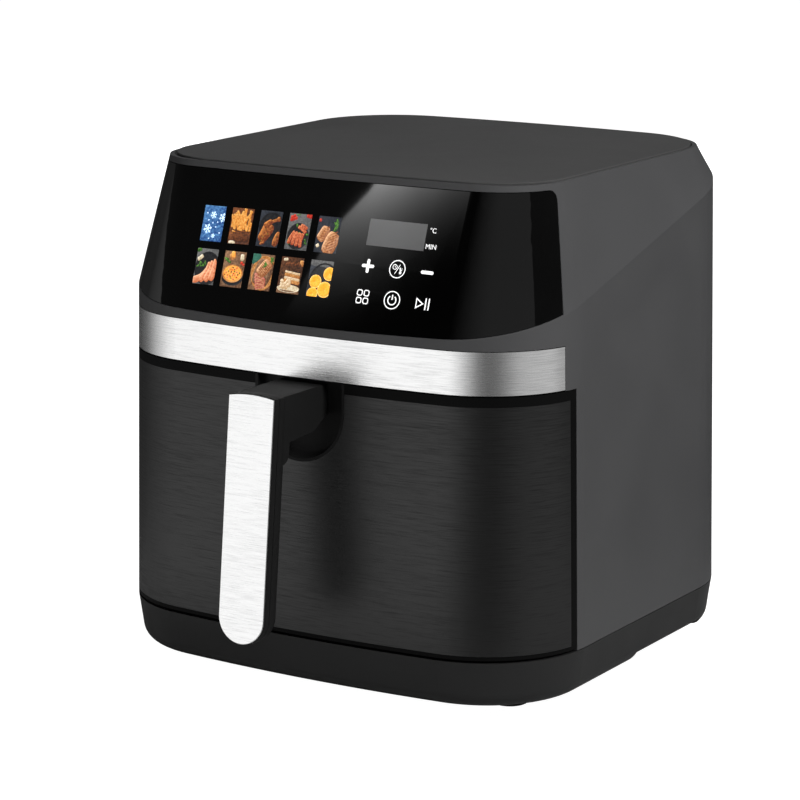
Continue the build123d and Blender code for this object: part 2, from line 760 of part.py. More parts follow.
# ---- Drawer rails and catches ----------------------------------------------------------------------------
for side, rail_name, spring_name in (
    (-1, "drawer_rail_left", "catch_spring_left"),
    (1, "drawer_rail_right", "catch_spring_right"),
):
    with BuildPart() as rail:
        with BuildSketch(Plane.XY.offset(CHAMBER_LOW + SHEET)):
            with Locations((side * 80, (CORE_FRONT + PAN_REAR) / 2)):
                SlotOverall(PAN_REAR - CORE_FRONT - 6, 8, rotation=90)
        extrude(amount=PAN_LOW - 0.3 - CHAMBER_LOW - SHEET)
    write(rail, rail_name)

    with BuildPart() as spring:
        wall_x = side * (CHAMBER_HALF - SHEET)
        with BuildSketch(Plane.XY.offset(120)):
            with BuildLine():
                ThreePointArc((wall_x, -100), (wall_x - side * 4.4, -80), (wall_x, -60))
                ThreePointArc((wall_x, -60), (wall_x - side * 3.8, -80), (wall_x, -100))
            make_face()
        extrude(amount=12)
    write(spring, spring_name)

# ---- Drawer: door ----------------------------------------------------------------------------------------
BOSSES = [(x, z) for x in (-95, 95) for z in (62, 168)]
BRACKET_SCREWS = [(x, z) for x in (-30, 30) for z in (95, 135)]
NECK_SCREWS = [(-8, 179), (8, 179)]


def pocket_form(radius, rear):
    """Upright U on the door's face, reaching forward from the plane at rear."""
    with BuildPart() as made:
        with BuildSketch(Plane.XZ.offset(-rear)):
            with Locations((0, POCKET_Z)):
                Circle(radius)
            with Locations((0, POCKET_Z + 30)):
                Rectangle(2 * radius, 60)
        extrude(amount=50)
    return made.part


with BuildPart() as pocket_hollow:
    add(pocket_form(POCKET_R - POCKET_LIP, POCKET_FLOOR))
    fillet(pocket_hollow.faces().sort_by(Axis.Y)[-1].edges(), 4.5)

with BuildPart() as handle_pocket:
    add(prism(0, 100, DOOR_TOP))
    add(pocket_form(POCKET_R, POCKET_BACK), mode=Mode.INTERSECT)
    add(pocket_hollow.part, mode=Mode.SUBTRACT)
    for x, z in NECK_SCREWS:
        add(rod((x, -145, z), 1.6, 20, (0, 1, 0)), mode=Mode.SUBTRACT)
write(handle_pocket, "handle_pocket")

with BuildPart() as door_skin:
    add(prism(0, SKIN_BOTTOM, SKIN_TOP))
    add(prism(SKIN, SKIN_BOTTOM - 1, SKIN_TOP + 1), mode=Mode.SUBTRACT)
    add(block(-FAR, FAR, -FAR, SKIN_REAR, 0, 2 * FAR), mode=Mode.INTERSECT)
    add(pocket_form(POCKET_R + 0.1, POCKET_BACK), mode=Mode.SUBTRACT)
write(door_skin, "door_skin")

with BuildPart() as skin_seat:
    add(prism(-1, SKIN_BOTTOM - 0.1, SKIN_TOP + 0.1))
    add(prism(SKIN, SKIN_BOTTOM - 1, SKIN_TOP + 1), mode=Mode.SUBTRACT)
    add(block(-FAR, FAR, -FAR, SKIN_REAR + 0.1, 0, 2 * FAR), mode=Mode.INTERSECT)

with BuildPart() as door_bosses:
    for x, z in BOSSES:
        add(rod((x, DOOR_BACK_FRONT, z), 5, 30, (0, -1, 0)))
    add(prism(DOOR_WALL - 1, DOOR_BOTTOM, DOOR_TOP), mode=Mode.INTERSECT)
    for x, z in BOSSES:
        add(rod((x, DOOR_BACK_FRONT + 1, z), 1.5, 9, (0, -1, 0)), mode=Mode.SUBTRACT)

with BuildPart() as door_shell:
    add(prism(0, DOOR_BOTTOM, DOOR_TOP))
    add(prism(DOOR_WALL, DOOR_BOTTOM + DOOR_WALL, DOOR_TOP - DOOR_WALL), mode=Mode.SUBTRACT)
    add(block(-FAR, FAR, -FAR, DOOR_REAR, 0, 2 * FAR), mode=Mode.INTERSECT)
    core_clear = CORE_HALF + 1.5
    add(block(-core_clear, core_clear, CORE_FRONT - 1.4, FAR, 0, 2 * FAR), mode=Mode.SUBTRACT)
    add(skin_seat.part, mode=Mode.SUBTRACT)
    add(pocket_form(POCKET_R, POCKET_BACK), mode=Mode.SUBTRACT)
    add(door_bosses.part)
write(door_shell, "door_shell")

with BuildPart() as door_back:
    with BuildSketch(Plane.XZ.offset(-DOOR_BACK_REAR)):
        with Locations((0, (DOOR_BOTTOM + DOOR_TOP) / 2)):
            RectangleRounded(235, DOOR_TOP - DOOR_BOTTOM - 2 * DOOR_WALL - 0.4, 12)
    extrude(amount=DOOR_BACK_REAR - DOOR_BACK_FRONT)
    for x, z in BOSSES + BRACKET_SCREWS:
        add(rod((x, -130, z), 1.6, 12, (0, 1, 0)), mode=Mode.SUBTRACT)
write(door_back, "door_back")

with BuildPart() as door_gasket:
    add(mouth(3.2, DOOR_BACK_REAR, CORE_FRONT - 0.3))
    add(mouth(0.3, DOOR_BACK_REAR - 1, CORE_FRONT + 1), mode=Mode.SUBTRACT)
write(door_gasket, "door_gasket")

# ---- Drawer: handle --------------------------------------------------------------------------------------
GRIP = Plane(
    origin=GRIP_TOP, x_dir=(1, 0, 0), z_dir=(0, -cos(radians(GRIP_LEAN)), sin(radians(GRIP_LEAN)))
)


def grip_solid(half, rear, front):
    """Slab of the grip between two depths: arched top edge, straight sides, round lower end."""
    inset = GRIP_HALF - half
    low = GRIP_HALF - GRIP_LENGTH
    with BuildPart() as made:
        with BuildSketch(GRIP.offset(-rear)):
            with BuildLine():
                Line((-half, low), (-half, -1.5 - inset))
                ThreePointArc((-half, -1.5 - inset), (0, -inset), (half, -1.5 - inset))
                Line((half, -1.5 - inset), (half, low))
                ThreePointArc((half, low), (0, low - half), (-half, low))
            make_face()
        extrude(amount=rear - front)
    return made.part


with BuildPart() as neck:
    with BuildSketch(Plane.YZ):
        with BuildLine():
            Polyline(
                (POCKET_FLOOR, 189.5),
                (-184.2, 189.5),
                (-184.2, 151),
                (-176.5, 151),
                (-174.8, 162.8),
                (-150, 164.5),
                (POCKET_FLOOR, 172),
                close=True,
            )
        face = make_face()
        fillet(face.vertices().sort_by_distance((0, -174.8, 162.8))[0], 6)
        fillet(face.vertices().sort_by_distance((0, -150, 164.5))[0], 20)
    extrude(amount=NECK_HALF, both=True)

with BuildPart() as handle_rear_shell:
    add(grip_solid(GRIP_HALF, GRIP_DEEP, GRIP_PARTING))
    rear_face = handle_rear_shell.faces().sort_by(Axis(GRIP_TOP, GRIP.z_dir))[0]
    fillet(rear_face.edges(), 9)
    add(neck.part)
    add(grip_solid(11.5, 14.5, GRIP_PARTING), mode=Mode.SUBTRACT)
    for x, z in NECK_SCREWS:
        add(rod((x, POCKET_FLOOR, z), 1.5, 14, (0, -1, 0)), mode=Mode.SUBTRACT)
write(handle_rear_shell, "handle_rear_shell")

with BuildPart() as handle_front_shell:
    add(grip_solid(GRIP_HALF, GRIP_PARTING, GRIP_STRIP))
    parting_face = handle_front_shell.faces().sort_by(Axis(GRIP_TOP, GRIP.z_dir))[0]
    chamfer(parting_face.edges(), 0.4)
    add(grip_solid(13.0, GRIP_PARTING, 3.2), mode=Mode.SUBTRACT)
write(handle_front_shell, "handle_front_shell")

with BuildPart() as handle_strip:
    add(grip_solid(GRIP_HALF - 0.3, GRIP_STRIP, 0))
    front_face = handle_strip.faces().sort_by(Axis(GRIP_TOP, GRIP.z_dir))[-1]
    chamfer(front_face.edges(), 0.3)
write(handle_strip, "handle_strip")

with BuildPart() as handle_screws:
    for x, z in NECK_SCREWS:
        add(screw((x, POCKET_BACK, z), (0, -1, 0), 12))
write(handle_screws, "handle_screws")

with BuildPart() as door_screws:
    for x, z in BOSSES:
        add(screw((x, DOOR_BACK_REAR, z), (0, -1, 0), 8))
    for x, z in BRACKET_SCREWS:
        add(screw((x, DOOR_BACK_FRONT, z), (0, 1, 0), 8))
write(door_screws, "door_screws")

# ---- Drawer: pan -----------------------------------------------------------------------------------------
PAN_ROUND = 40.0
PAN_FOOT = 14.0


def pan_form(inset, low, high):
    """The pan's solid form, moved in by inset, with a rounded foot."""
    with BuildPart() as made:
        front, rear = PAN_FRONT + inset, PAN_REAR - inset
        add(rounded_box(PAN_HALF - inset, front, rear, low, high, PAN_ROUND - inset))
        fillet(made.edges().group_by(Axis.Z)[0], PAN_FOOT - inset)
    return made.part


with BuildPart() as basket_pan:
    add(pan_form(0, PAN_LOW, PAN_HIGH))
    add(
        rounded_box(
            PAN_HALF + PAN_FLANGE,
            PAN_FRONT - PAN_FLANGE,
            PAN_REAR + PAN_FLANGE,
            PAN_HIGH,
            PAN_HIGH + PAN_WALL,
            PAN_ROUND + PAN_FLANGE,
        )
    )
    add(pan_form(PAN_WALL, PAN_LOW + PAN_WALL, PAN_HIGH + 5), mode=Mode.SUBTRACT)
write(basket_pan, "basket_pan")

with BuildPart() as pan_bracket:
    add(block(-40, 40, DOOR_BACK_REAR, DOOR_BACK_REAR + PAN_WALL, 80, 150))
    for side in (-1, 1):
        x0, x1 = sorted((side * 38.6, side * 40))
        add(block(x0, x1, DOOR_BACK_REAR, PAN_FRONT, 80, 150))
        x0, x1 = sorted((side * 40, side * 55))
        add(block(x0, x1, PAN_FRONT - PAN_WALL, PAN_FRONT, 80, 150))
    for x, z in BRACKET_SCREWS:
        add(rod((x, -130, z), 1.5, 12, (0, 1, 0)), mode=Mode.SUBTRACT)
write(pan_bracket, "pan_bracket")

# ---- Crisper tray ----------------------------------------------------------------------------------------
TRAY_Z = 60.0
TRAY_T = 1.5
TRAY_GAP = 4.4  # from the pan's outer face
PAN_MIDDLE = (PAN_FRONT + PAN_REAR) / 2

with BuildPart() as crisper_plate:
    add(
        rounded_box(
            PAN_HALF - TRAY_GAP,
            PAN_FRONT + TRAY_GAP,
            PAN_REAR - TRAY_GAP,
            TRAY_Z,
            TRAY_Z + TRAY_T,
            PAN_ROUND - TRAY_GAP,
        )
    )
    with BuildSketch(Plane.XY.offset(TRAY_Z)):
        with Locations((0, PAN_MIDDLE)):
            with GridLocations(40, 20, 4, 9):
                SlotOverall(24, 5)
            with GridLocations(40, 20, 3, 8):
                SlotOverall(16, 5)
    extrude(amount=TRAY_T, mode=Mode.SUBTRACT)
write(crisper_plate, "crisper_plate")

with BuildPart() as tray_feet:
    with BuildSketch(Plane.XY.offset(PAN_LOW + PAN_WALL + 0.3)):
        with Locations((0, PAN_MIDDLE)):
            with GridLocations(140, 150, 2, 2):
                Circle(5)
    extrude(amount=TRAY_Z - PAN_LOW - PAN_WALL - 0.3)
write(tray_feet, "tray_feet")
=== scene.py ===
# %% [markdown]
# # Drawer air fryer
# The shell, door, pan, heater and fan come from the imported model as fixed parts. This script
# gives each of them its real finish, and models the printed things that a CAD model leaves plain:
# the ten lit menu pictures, the power sign, the clock and thermometer sign, and the units beside
# the display. Everything is in metres, with the origin on the worktop under the middle of the
# body.

# %% Load the fixed model
import json
import random
from math import cos, pi, radians, sin

import bmesh
import bpy
from mathutils import Matrix, Vector


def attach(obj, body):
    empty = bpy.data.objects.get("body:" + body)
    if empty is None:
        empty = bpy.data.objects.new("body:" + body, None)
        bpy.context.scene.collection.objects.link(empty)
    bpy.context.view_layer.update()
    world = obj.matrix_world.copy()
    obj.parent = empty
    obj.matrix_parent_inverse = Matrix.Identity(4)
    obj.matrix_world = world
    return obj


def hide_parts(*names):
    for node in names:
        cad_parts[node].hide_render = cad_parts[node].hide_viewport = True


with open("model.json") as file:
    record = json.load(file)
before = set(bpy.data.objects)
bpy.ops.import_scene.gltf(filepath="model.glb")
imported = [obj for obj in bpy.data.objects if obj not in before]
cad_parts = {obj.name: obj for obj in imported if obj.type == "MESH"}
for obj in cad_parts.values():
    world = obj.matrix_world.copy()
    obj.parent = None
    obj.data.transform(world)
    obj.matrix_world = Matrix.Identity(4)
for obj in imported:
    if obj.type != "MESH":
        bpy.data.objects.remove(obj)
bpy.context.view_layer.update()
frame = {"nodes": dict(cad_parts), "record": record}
nodes = frame["nodes"]
print("fixed parts:", len(nodes))

# %% [markdown]
# ## Camera
# Small appliances are usually shown from a little above and to one side with a long lens, so that
# upright edges stay nearly parallel. The camera is placed by its direction and its distance from
# a point on the body, which is easier to read and to change than a position and three turns.

# %% Camera
MM = 0.001
AIM = Vector((-32.3, 17.7, 145.5)) * MM
AZIMUTH = 31.92
ELEVATION = 12.42
DISTANCE = 1.9165

bpy.ops.object.camera_add()
camera = bpy.context.object
backwards = Vector(
    (
        sin(radians(AZIMUTH)) * cos(radians(ELEVATION)),
        -cos(radians(AZIMUTH)) * cos(radians(ELEVATION)),
        sin(radians(ELEVATION)),
    )
)
camera.location = AIM + backwards * DISTANCE
camera.rotation_euler = (radians(90 - ELEVATION), 0, radians(AZIMUTH))
camera.data.lens = 139.14
camera.data.clip_end = 50
bpy.context.scene.camera = camera
print("camera at", [round(value, 3) for value in camera.location])

# %% [markdown]
# ## Studio
# Dark gloss and brushed steel show what is round them more than they show light. So light and
# reflections are set apart: soft boxes that only light the surfaces, and cards that are only seen
# in them. The cards are a skirt round the object, which glows more on one side than another, one
# slanted card that puts the long reflection across the panel, and a dim one for the panel's
# rounded end. The camera sees none of them, only a white floor that runs into a white surround.

# %% Helpers for objects and node trees
bpy.context.scene.view_settings.view_transform = "Standard"


def new_material(name):
    """A node material; returns the material, its tree and its Principled shader."""
    material = bpy.data.materials.new(name)
    material.use_nodes = True
    tree = material.node_tree
    return material, tree, tree.nodes["Principled BSDF"]


def add_node(tree, kind, **settings):
    """A node of that kind with its properties set."""
    made = tree.nodes.new(kind)
    for key, value in settings.items():
        setattr(made, key, value)
    return made


def glow_material(name):
    """A material that only glows; returns the material, its tree and its Emission node."""
    material = bpy.data.materials.new(name)
    material.use_nodes = True
    tree = material.node_tree
    tree.nodes.clear()
    glow = add_node(tree, "ShaderNodeEmission")
    out = add_node(tree, "ShaderNodeOutputMaterial")
    tree.links.new(glow.outputs[0], out.inputs["Surface"])
    return material, tree, glow


def unseen(piece):
    """Leaves a stage piece visible in reflections only."""
    piece.visible_camera = False
    piece.visible_diffuse = False
    piece.visible_shadow = False
    piece.visible_transmission = False


def reflection_card(name, corners, material):
    """A flat card with those corners, which only reflections show."""
    mesh = bpy.data.meshes.new(name)
    mesh.from_pydata(corners, [], [(0, 1, 2, 3)])
    mesh.materials.append(material)
    card = bpy.data.objects.new(name, mesh)
    bpy.context.scene.collection.objects.link(card)
    unseen(card)
    print(name, "corners:", len(corners))


def soft_box(name, place, aim, size, power):
    """Rectangular area light at place, turned to aim; it lights surfaces, and shows in none of them."""
    bpy.ops.object.light_add(type="AREA", location=place)
    lamp = bpy.context.object
    lamp.name = name
    lamp.data.shape = "RECTANGLE"
    lamp.data.size, lamp.data.size_y = size
    lamp.data.energy = power
    lamp.rotation_euler = (Vector(aim) - Vector(place)).to_track_quat("-Z", "Y").to_euler()
    lamp.visible_glossy = False


def camera_only(tree, dim, bright):
    """A value that is bright to the camera, and dim to light that bounces."""
    seen = add_node(tree, "ShaderNodeLightPath")
    shade = add_node(tree, "ShaderNodeMix", data_type="FLOAT")
    shade.inputs[2].default_value = dim
    shade.inputs[3].default_value = bright
    tree.links.new(seen.outputs["Is Camera Ray"], shade.inputs[0])
    return shade.outputs[0]


print("view transform:", bpy.context.scene.view_settings.view_transform)

# %% [markdown]
# The surround is the world's background. Only the camera sees it white: if it lit the body as
# well, there would be no dark side and no dark reflections.

# %% Surround: white to the camera, nearly dark to everything else
world = bpy.data.worlds.new("studio")
bpy.context.scene.world = world
world.use_nodes = True
tree = world.node_tree
background = tree.nodes["Background"]
background.inputs["Color"].default_value = (1, 1, 1, 1)
tree.links.new(camera_only(tree, 0.05, 1.0), background.inputs["Strength"])
print("surround:", world.name)

# %% [markdown]
# The floor is a large plane. It is dark enough to send little light up at the base, and glows
# white to the camera, so no edge shows between it and the surround.

# %% Floor
bpy.ops.mesh.primitive_plane_add(size=40)
floor = bpy.context.object
floor.name = "floor"
material, tree, shader = new_material("floor_paint")
shader.inputs["Base Color"].default_value = (0.25, 0.25, 0.25, 1)
shader.inputs["Roughness"].default_value = 0.8
shader.inputs["Specular IOR Level"].default_value = 0.1
shader.inputs["Emission Color"].default_value = (1, 1, 1, 1)
tree.links.new(camera_only(tree, 0.0, 1.0), shader.inputs["Emission Strength"])
floor.data.materials.append(material)
print("floor:", floor.name)

# %% [markdown]
# Four soft boxes light the surfaces. The top one is the strongest, the right one models the side,
# and the front and rear ones only fill, so that the door and the back are not lost.

# %% Soft boxes
soft_box("front_box", (-0.8, -2.3, 1.9), (0, 0, 0.15), (1.8, 1.4), 9)
soft_box("top_box", (0.0, 0.3, 2.6), (0, 0, 0.2), (1.8, 1.8), 30)
soft_box("right_box", (1.35, -0.45, 1.15), (0.15, 0, 0.2), (0.5, 0.5), 44)
soft_box("rear_box", (-1.1, 2.0, 0.45), (0, 0.1, 0.15), (1.2, 0.8), 26)

# %% [markdown]
# The skirt is a ring on the floor with a low wall at its outer edge. Its glow depends on the
# direction from the object only, so a colour ramp over a radial gradient sets it: bright where
# the front is mirrored, dark by the camera, and half bright to the right. That gives rounded
# steel its dark upright bands.

# %% Skirt of light round the object
SKIRT_INNER, SKIRT_OUTER, SKIRT_WALL = 0.30, 1.3, 0.45
SKIRT_GLOW = (
    (-180, 0.05),
    (-110, 0.04),
    (-86, 0.12),
    (-64, 0.55),
    (-46, 0.96),
    (0, 1.0),
    (14, 0.45),
    (27, 0.08),
    (42, 0.10),
    (62, 0.42),
    (96, 0.50),
    (124, 0.12),
    (180, 0.05),
)

bpy.ops.object.select_all(action="DESELECT")
bpy.ops.mesh.primitive_circle_add(vertices=96, radius=SKIRT_INNER, fill_type="NOTHING")
skirt = bpy.context.object
skirt.name = "reflection_skirt"
bpy.ops.object.mode_set(mode="EDIT")
bpy.ops.mesh.select_all(action="SELECT")
bpy.ops.transform.translate(value=(0, 0, 0.001))
bpy.ops.mesh.extrude_edges_move()
ratio = SKIRT_OUTER / SKIRT_INNER
bpy.ops.transform.resize(value=(ratio, ratio, 1), center_override=(0, 0, 0))
bpy.ops.mesh.extrude_edges_move(TRANSFORM_OT_translate={"value": (0, 0, SKIRT_WALL)})
bpy.ops.object.mode_set(mode="OBJECT")
material, tree, glow = glow_material("skirt_glow")
place = add_node(tree, "ShaderNodeTexCoord")
quarter = add_node(tree, "ShaderNodeMapping")
quarter.inputs["Rotation"].default_value = (0, 0, radians(90))
radial = add_node(tree, "ShaderNodeTexGradient", gradient_type="RADIAL")
ramp = add_node(tree, "ShaderNodeValToRGB")
for angle, level in SKIRT_GLOW[1:-1]:
    ramp.color_ramp.elements.new((angle + 180) / 360)
for stop, (angle, level) in zip(ramp.color_ramp.elements, SKIRT_GLOW):
    stop.color = (level, level, level, 1)
tree.links.new(place.outputs["Object"], quarter.inputs["Vector"])
tree.links.new(quarter.outputs[0], radial.inputs["Vector"])
tree.links.new(radial.outputs["Fac"], ramp.inputs[0])
tree.links.new(ramp.outputs[0], glow.inputs["Color"])
skirt.data.materials.append(material)
unseen(skirt)
print("skirt faces:", len(skirt.data.polygons), "stops:", len(ramp.color_ramp.elements))

# %% [markdown]
# The long slanted reflection in the panel is a bright card. Its left edge is the reflection's
# sharp edge, and it fades to the right and downwards. Each fade is a position on the card, mapped
# to 0 to 1 and raised to a power.

# %% Card for the slanted reflection in the panel
CARD_CORNERS = ((-1.20, -1.62, 0.90), (-0.30, -1.90, 0.90), (-0.20, -1.86, 1.34), (-0.78, -1.65, 1.34))
CARD_STRENGTH = 7.5
CARD_SLANT = -0.952
CARD_ACROSS = (-1.555, -2.055, 2.7)
CARD_DOWN = (0.85, 1.15, 4.4)


def faded(tree, source, start, end, power):
    """0 at start, 1 at end, and bent by a power between them."""
    reach = add_node(tree, "ShaderNodeMapRange")
    reach.inputs["From Min"].default_value = start
    reach.inputs["From Max"].default_value = end
    bend = add_node(tree, "ShaderNodeMath", operation="POWER")
    bend.inputs[1].default_value = power
    tree.links.new(source, reach.inputs["Value"])
    tree.links.new(reach.outputs[0], bend.inputs[0])
    return bend.outputs[0]


material, tree, glow = glow_material("card_glow")
place = add_node(tree, "ShaderNodeTexCoord")
split = add_node(tree, "ShaderNodeSeparateXYZ")
from_edge = add_node(tree, "ShaderNodeMath", operation="MULTIPLY_ADD")
from_edge.inputs[1].default_value = CARD_SLANT
both = add_node(tree, "ShaderNodeMath", operation="MULTIPLY")
strength = add_node(tree, "ShaderNodeMath", operation="MULTIPLY")
strength.inputs[1].default_value = CARD_STRENGTH
tree.links.new(place.outputs["Object"], split.inputs[0])
tree.links.new(split.outputs["Z"], from_edge.inputs[0])
tree.links.new(split.outputs["X"], from_edge.inputs[2])
tree.links.new(faded(tree, from_edge.outputs[0], *CARD_ACROSS), both.inputs[0])
tree.links.new(faded(tree, split.outputs["Z"], *CARD_DOWN), both.inputs[1])
tree.links.new(both.outputs[0], strength.inputs[0])
tree.links.new(strength.outputs[0], glow.inputs["Strength"])
reflection_card("reflection_card", CARD_CORNERS, material)

# %% [markdown]
# The rounded right end of the panel mirrors what stands further to the right. A dim card there,
# which starts from nothing and grows brighter, shows that the end is rounded.

# %% Dim card for the panel's rounded right end
DIM_CARD_CORNERS = ((-0.42, -1.96, 0.70), (2.40, -0.67, 0.70), (2.40, -0.67, 1.80), (-0.42, -1.96, 1.80))
DIM_CARD_FADE = (-0.42, 0.9)
DIM_CARD_STRENGTH = 0.30

material, tree, glow = glow_material("dim_card_glow")
place = add_node(tree, "ShaderNodeTexCoord")
split = add_node(tree, "ShaderNodeSeparateXYZ")
fade = add_node(tree, "ShaderNodeMapRange", interpolation_type="SMOOTHSTEP")
fade.inputs["From Min"].default_value = DIM_CARD_FADE[0]
fade.inputs["From Max"].default_value = DIM_CARD_FADE[1]
fade.inputs["To Max"].default_value = DIM_CARD_STRENGTH
tree.links.new(place.outputs["Object"], split.inputs[0])
tree.links.new(split.outputs["X"], fade.inputs["Value"])
tree.links.new(fade.outputs[0], glow.inputs["Strength"])
reflection_card("dim_card", DIM_CARD_CORNERS, material)

# %% [markdown]
# ## Two effects that many finishes share
# Brushing leaves long fine scratches in one direction. Noise that is squeezed across that
# direction and drawn out along it gives them, as one group that any metal can use. Moulded
# plastic has a fine even grain from its mould, and gets handled, so its sheen varies slowly. Both
# are groups with named inputs, so that each material only sets its own amounts.

# %% Brushed-metal group
def new_group(name, inputs, outputs):
    """An empty shader group with float inputs (name: default) and outputs (name: socket kind)."""
    group = bpy.data.node_groups.new(name, "ShaderNodeTree")
    for title, value in inputs.items():
        made = group.interface.new_socket(title, in_out="INPUT", socket_type="NodeSocketFloat")
        made.default_value = value
    for title, kind in outputs.items():
        group.interface.new_socket(title, in_out="OUTPUT", socket_type=kind)
    return group, group.nodes.new("NodeGroupInput"), group.nodes.new("NodeGroupOutput")


brushing, given, result = new_group(
    "brushing",
    {"Along": 60.0, "Across": 2400.0, "Clouds": 9.0},
    {"Scratches": "NodeSocketFloat", "Tone": "NodeSocketFloat"},
)
place = add_node(brushing, "ShaderNodeTexCoord")
split = add_node(brushing, "ShaderNodeSeparateXYZ")
brushing.links.new(place.outputs["Object"], split.inputs[0])
stretched = add_node(brushing, "ShaderNodeCombineXYZ")
for axis, amount in (("X", "Along"), ("Y", "Along"), ("Z", "Across")):
    times = add_node(brushing, "ShaderNodeMath", operation="MULTIPLY")
    brushing.links.new(split.outputs[axis], times.inputs[0])
    brushing.links.new(given.outputs[amount], times.inputs[1])
    brushing.links.new(times.outputs[0], stretched.inputs[axis])
scratch = add_node(brushing, "ShaderNodeTexNoise")
scratch.inputs["Scale"].default_value = 1.0
scratch.inputs["Detail"].default_value = 4.0
scratch.inputs["Roughness"].default_value = 0.62
brushing.links.new(stretched.outputs[0], scratch.inputs["Vector"])
clouds = add_node(brushing, "ShaderNodeTexNoise")
clouds.inputs["Detail"].default_value = 2.0
brushing.links.new(place.outputs["Object"], clouds.inputs["Vector"])
brushing.links.new(given.outputs["Clouds"], clouds.inputs["Scale"])
mixed = add_node(brushing, "ShaderNodeMath", operation="MULTIPLY_ADD")
mixed.inputs[1].default_value = 0.35
brushing.links.new(clouds.outputs[0], mixed.inputs[0])
brushing.links.new(scratch.outputs[0], mixed.inputs[2])
brushing.links.new(scratch.outputs[0], result.inputs["Scratches"])
brushing.links.new(mixed.outputs[0], result.inputs["Tone"])
print(brushing.name, "nodes:", len(brushing.nodes))

# %% Moulded-grain group
moulding, given, result = new_group(
    "moulding",
    {"Grain": 1500.0, "Handling": 14.0},
    {"Height": "NodeSocketFloat", "Sheen": "NodeSocketFloat"},
)
place = add_node(moulding, "ShaderNodeTexCoord")
grain = add_node(moulding, "ShaderNodeTexNoise")
grain.inputs["Detail"].default_value = 3.0
handled = add_node(moulding, "ShaderNodeTexNoise")
handled.inputs["Detail"].default_value = 3.0
handled.inputs["Distortion"].default_value = 0.6
for noise, amount in ((grain, "Grain"), (handled, "Handling")):
    moulding.links.new(place.outputs["Object"], noise.inputs["Vector"])
    moulding.links.new(given.outputs[amount], noise.inputs["Scale"])
moulding.links.new(grain.outputs[0], result.inputs["Height"])
moulding.links.new(handled.outputs[0], result.inputs["Sheen"])
print(moulding.name, "nodes:", len(moulding.nodes))

# %% [markdown]
# ## Finishes
# Each finish is one function call with its own colour, sheen and depth of grain. A ramp turns the
# group's slow noise into a small change of roughness, and a Bump node turns the fine grain into
# surface relief.

# %% Finish makers
def grey(level):
    """A neutral colour."""
    return (level, level, level)


def spread(tree, source, low, high):
    """Maps a noise value to the range low to high; noise sits mostly between 0.3 and 0.7."""
    ramp = add_node(tree, "ShaderNodeMapRange")
    ramp.inputs["From Min"].default_value = 0.3
    ramp.inputs["From Max"].default_value = 0.7
    ramp.inputs["To Min"].default_value = low
    ramp.inputs["To Max"].default_value = high
    tree.links.new(source, ramp.inputs["Value"])
    return ramp.outputs[0]


def tint_between(tree, source, dark, light):
    """Colour that runs from dark to light with a noise value."""
    mix = add_node(tree, "ShaderNodeMix", data_type="RGBA")
    mix.inputs[6].default_value = (*dark, 1)
    mix.inputs[7].default_value = (*light, 1)
    tree.links.new(spread(tree, source, 0.0, 1.0), mix.inputs[0])
    return mix.outputs[2]


def bump(tree, shader, height, depth, strength=1.0):
    """Relief of that depth in metres on the shader's normal."""
    relief = add_node(tree, "ShaderNodeBump")
    relief.inputs["Strength"].default_value = strength
    relief.inputs["Distance"].default_value = depth
    tree.links.new(height, relief.inputs["Height"])
    tree.links.new(relief.outputs[0], shader.inputs["Normal"])


def moulded(name, dark, light, rough, depth=0.00002, grain=1500.0, coat=0.0, specular=0.5):
    """Moulded plastic, rubber or paint: grain in relief, and a sheen that varies by a tenth."""
    material, tree, shader = new_material(name)
    group = add_node(tree, "ShaderNodeGroup", node_tree=moulding)
    group.inputs["Grain"].default_value = grain
    tint = tint_between(tree, group.outputs["Sheen"], dark, light)
    tree.links.new(tint, shader.inputs["Base Color"])
    sheen = spread(tree, group.outputs["Sheen"], rough * 0.92, rough * 1.1)
    tree.links.new(sheen, shader.inputs["Roughness"])
    shader.inputs["Specular IOR Level"].default_value = specular
    shader.inputs["Coat Weight"].default_value = coat
    shader.inputs["Coat Roughness"].default_value = 0.12
    bump(tree, shader, group.outputs["Height"], depth)
    return material


def brushed(name, dark, light, rough, metallic=1.0, depth=0.00002, along=60.0, across=2400.0):
    """Metal brushed level all round."""
    material, tree, shader = new_material(name)
    group = add_node(tree, "ShaderNodeGroup", node_tree=brushing)
    group.inputs["Along"].default_value = along
    group.inputs["Across"].default_value = across
    tint = tint_between(tree, group.outputs["Tone"], dark, light)
    tree.links.new(tint, shader.inputs["Base Color"])
    sheen = spread(tree, group.outputs["Scratches"], rough * 1.25, rough * 0.8)
    tree.links.new(sheen, shader.inputs["Roughness"])
    shader.inputs["Metallic"].default_value = metallic
    bump(tree, shader, group.outputs["Scratches"], depth)
    return material


# %% [markdown]
# The body is satin dark grey plastic, the top plate is flatter still, and the base and door frame
# are blacker. The band and the grip's strip are bright steel brushed level. The door skin is the
# same steel blackened, so it mirrors in the same way, only much more faintly. The pocket behind
# the grip is duller than the panel's gloss.

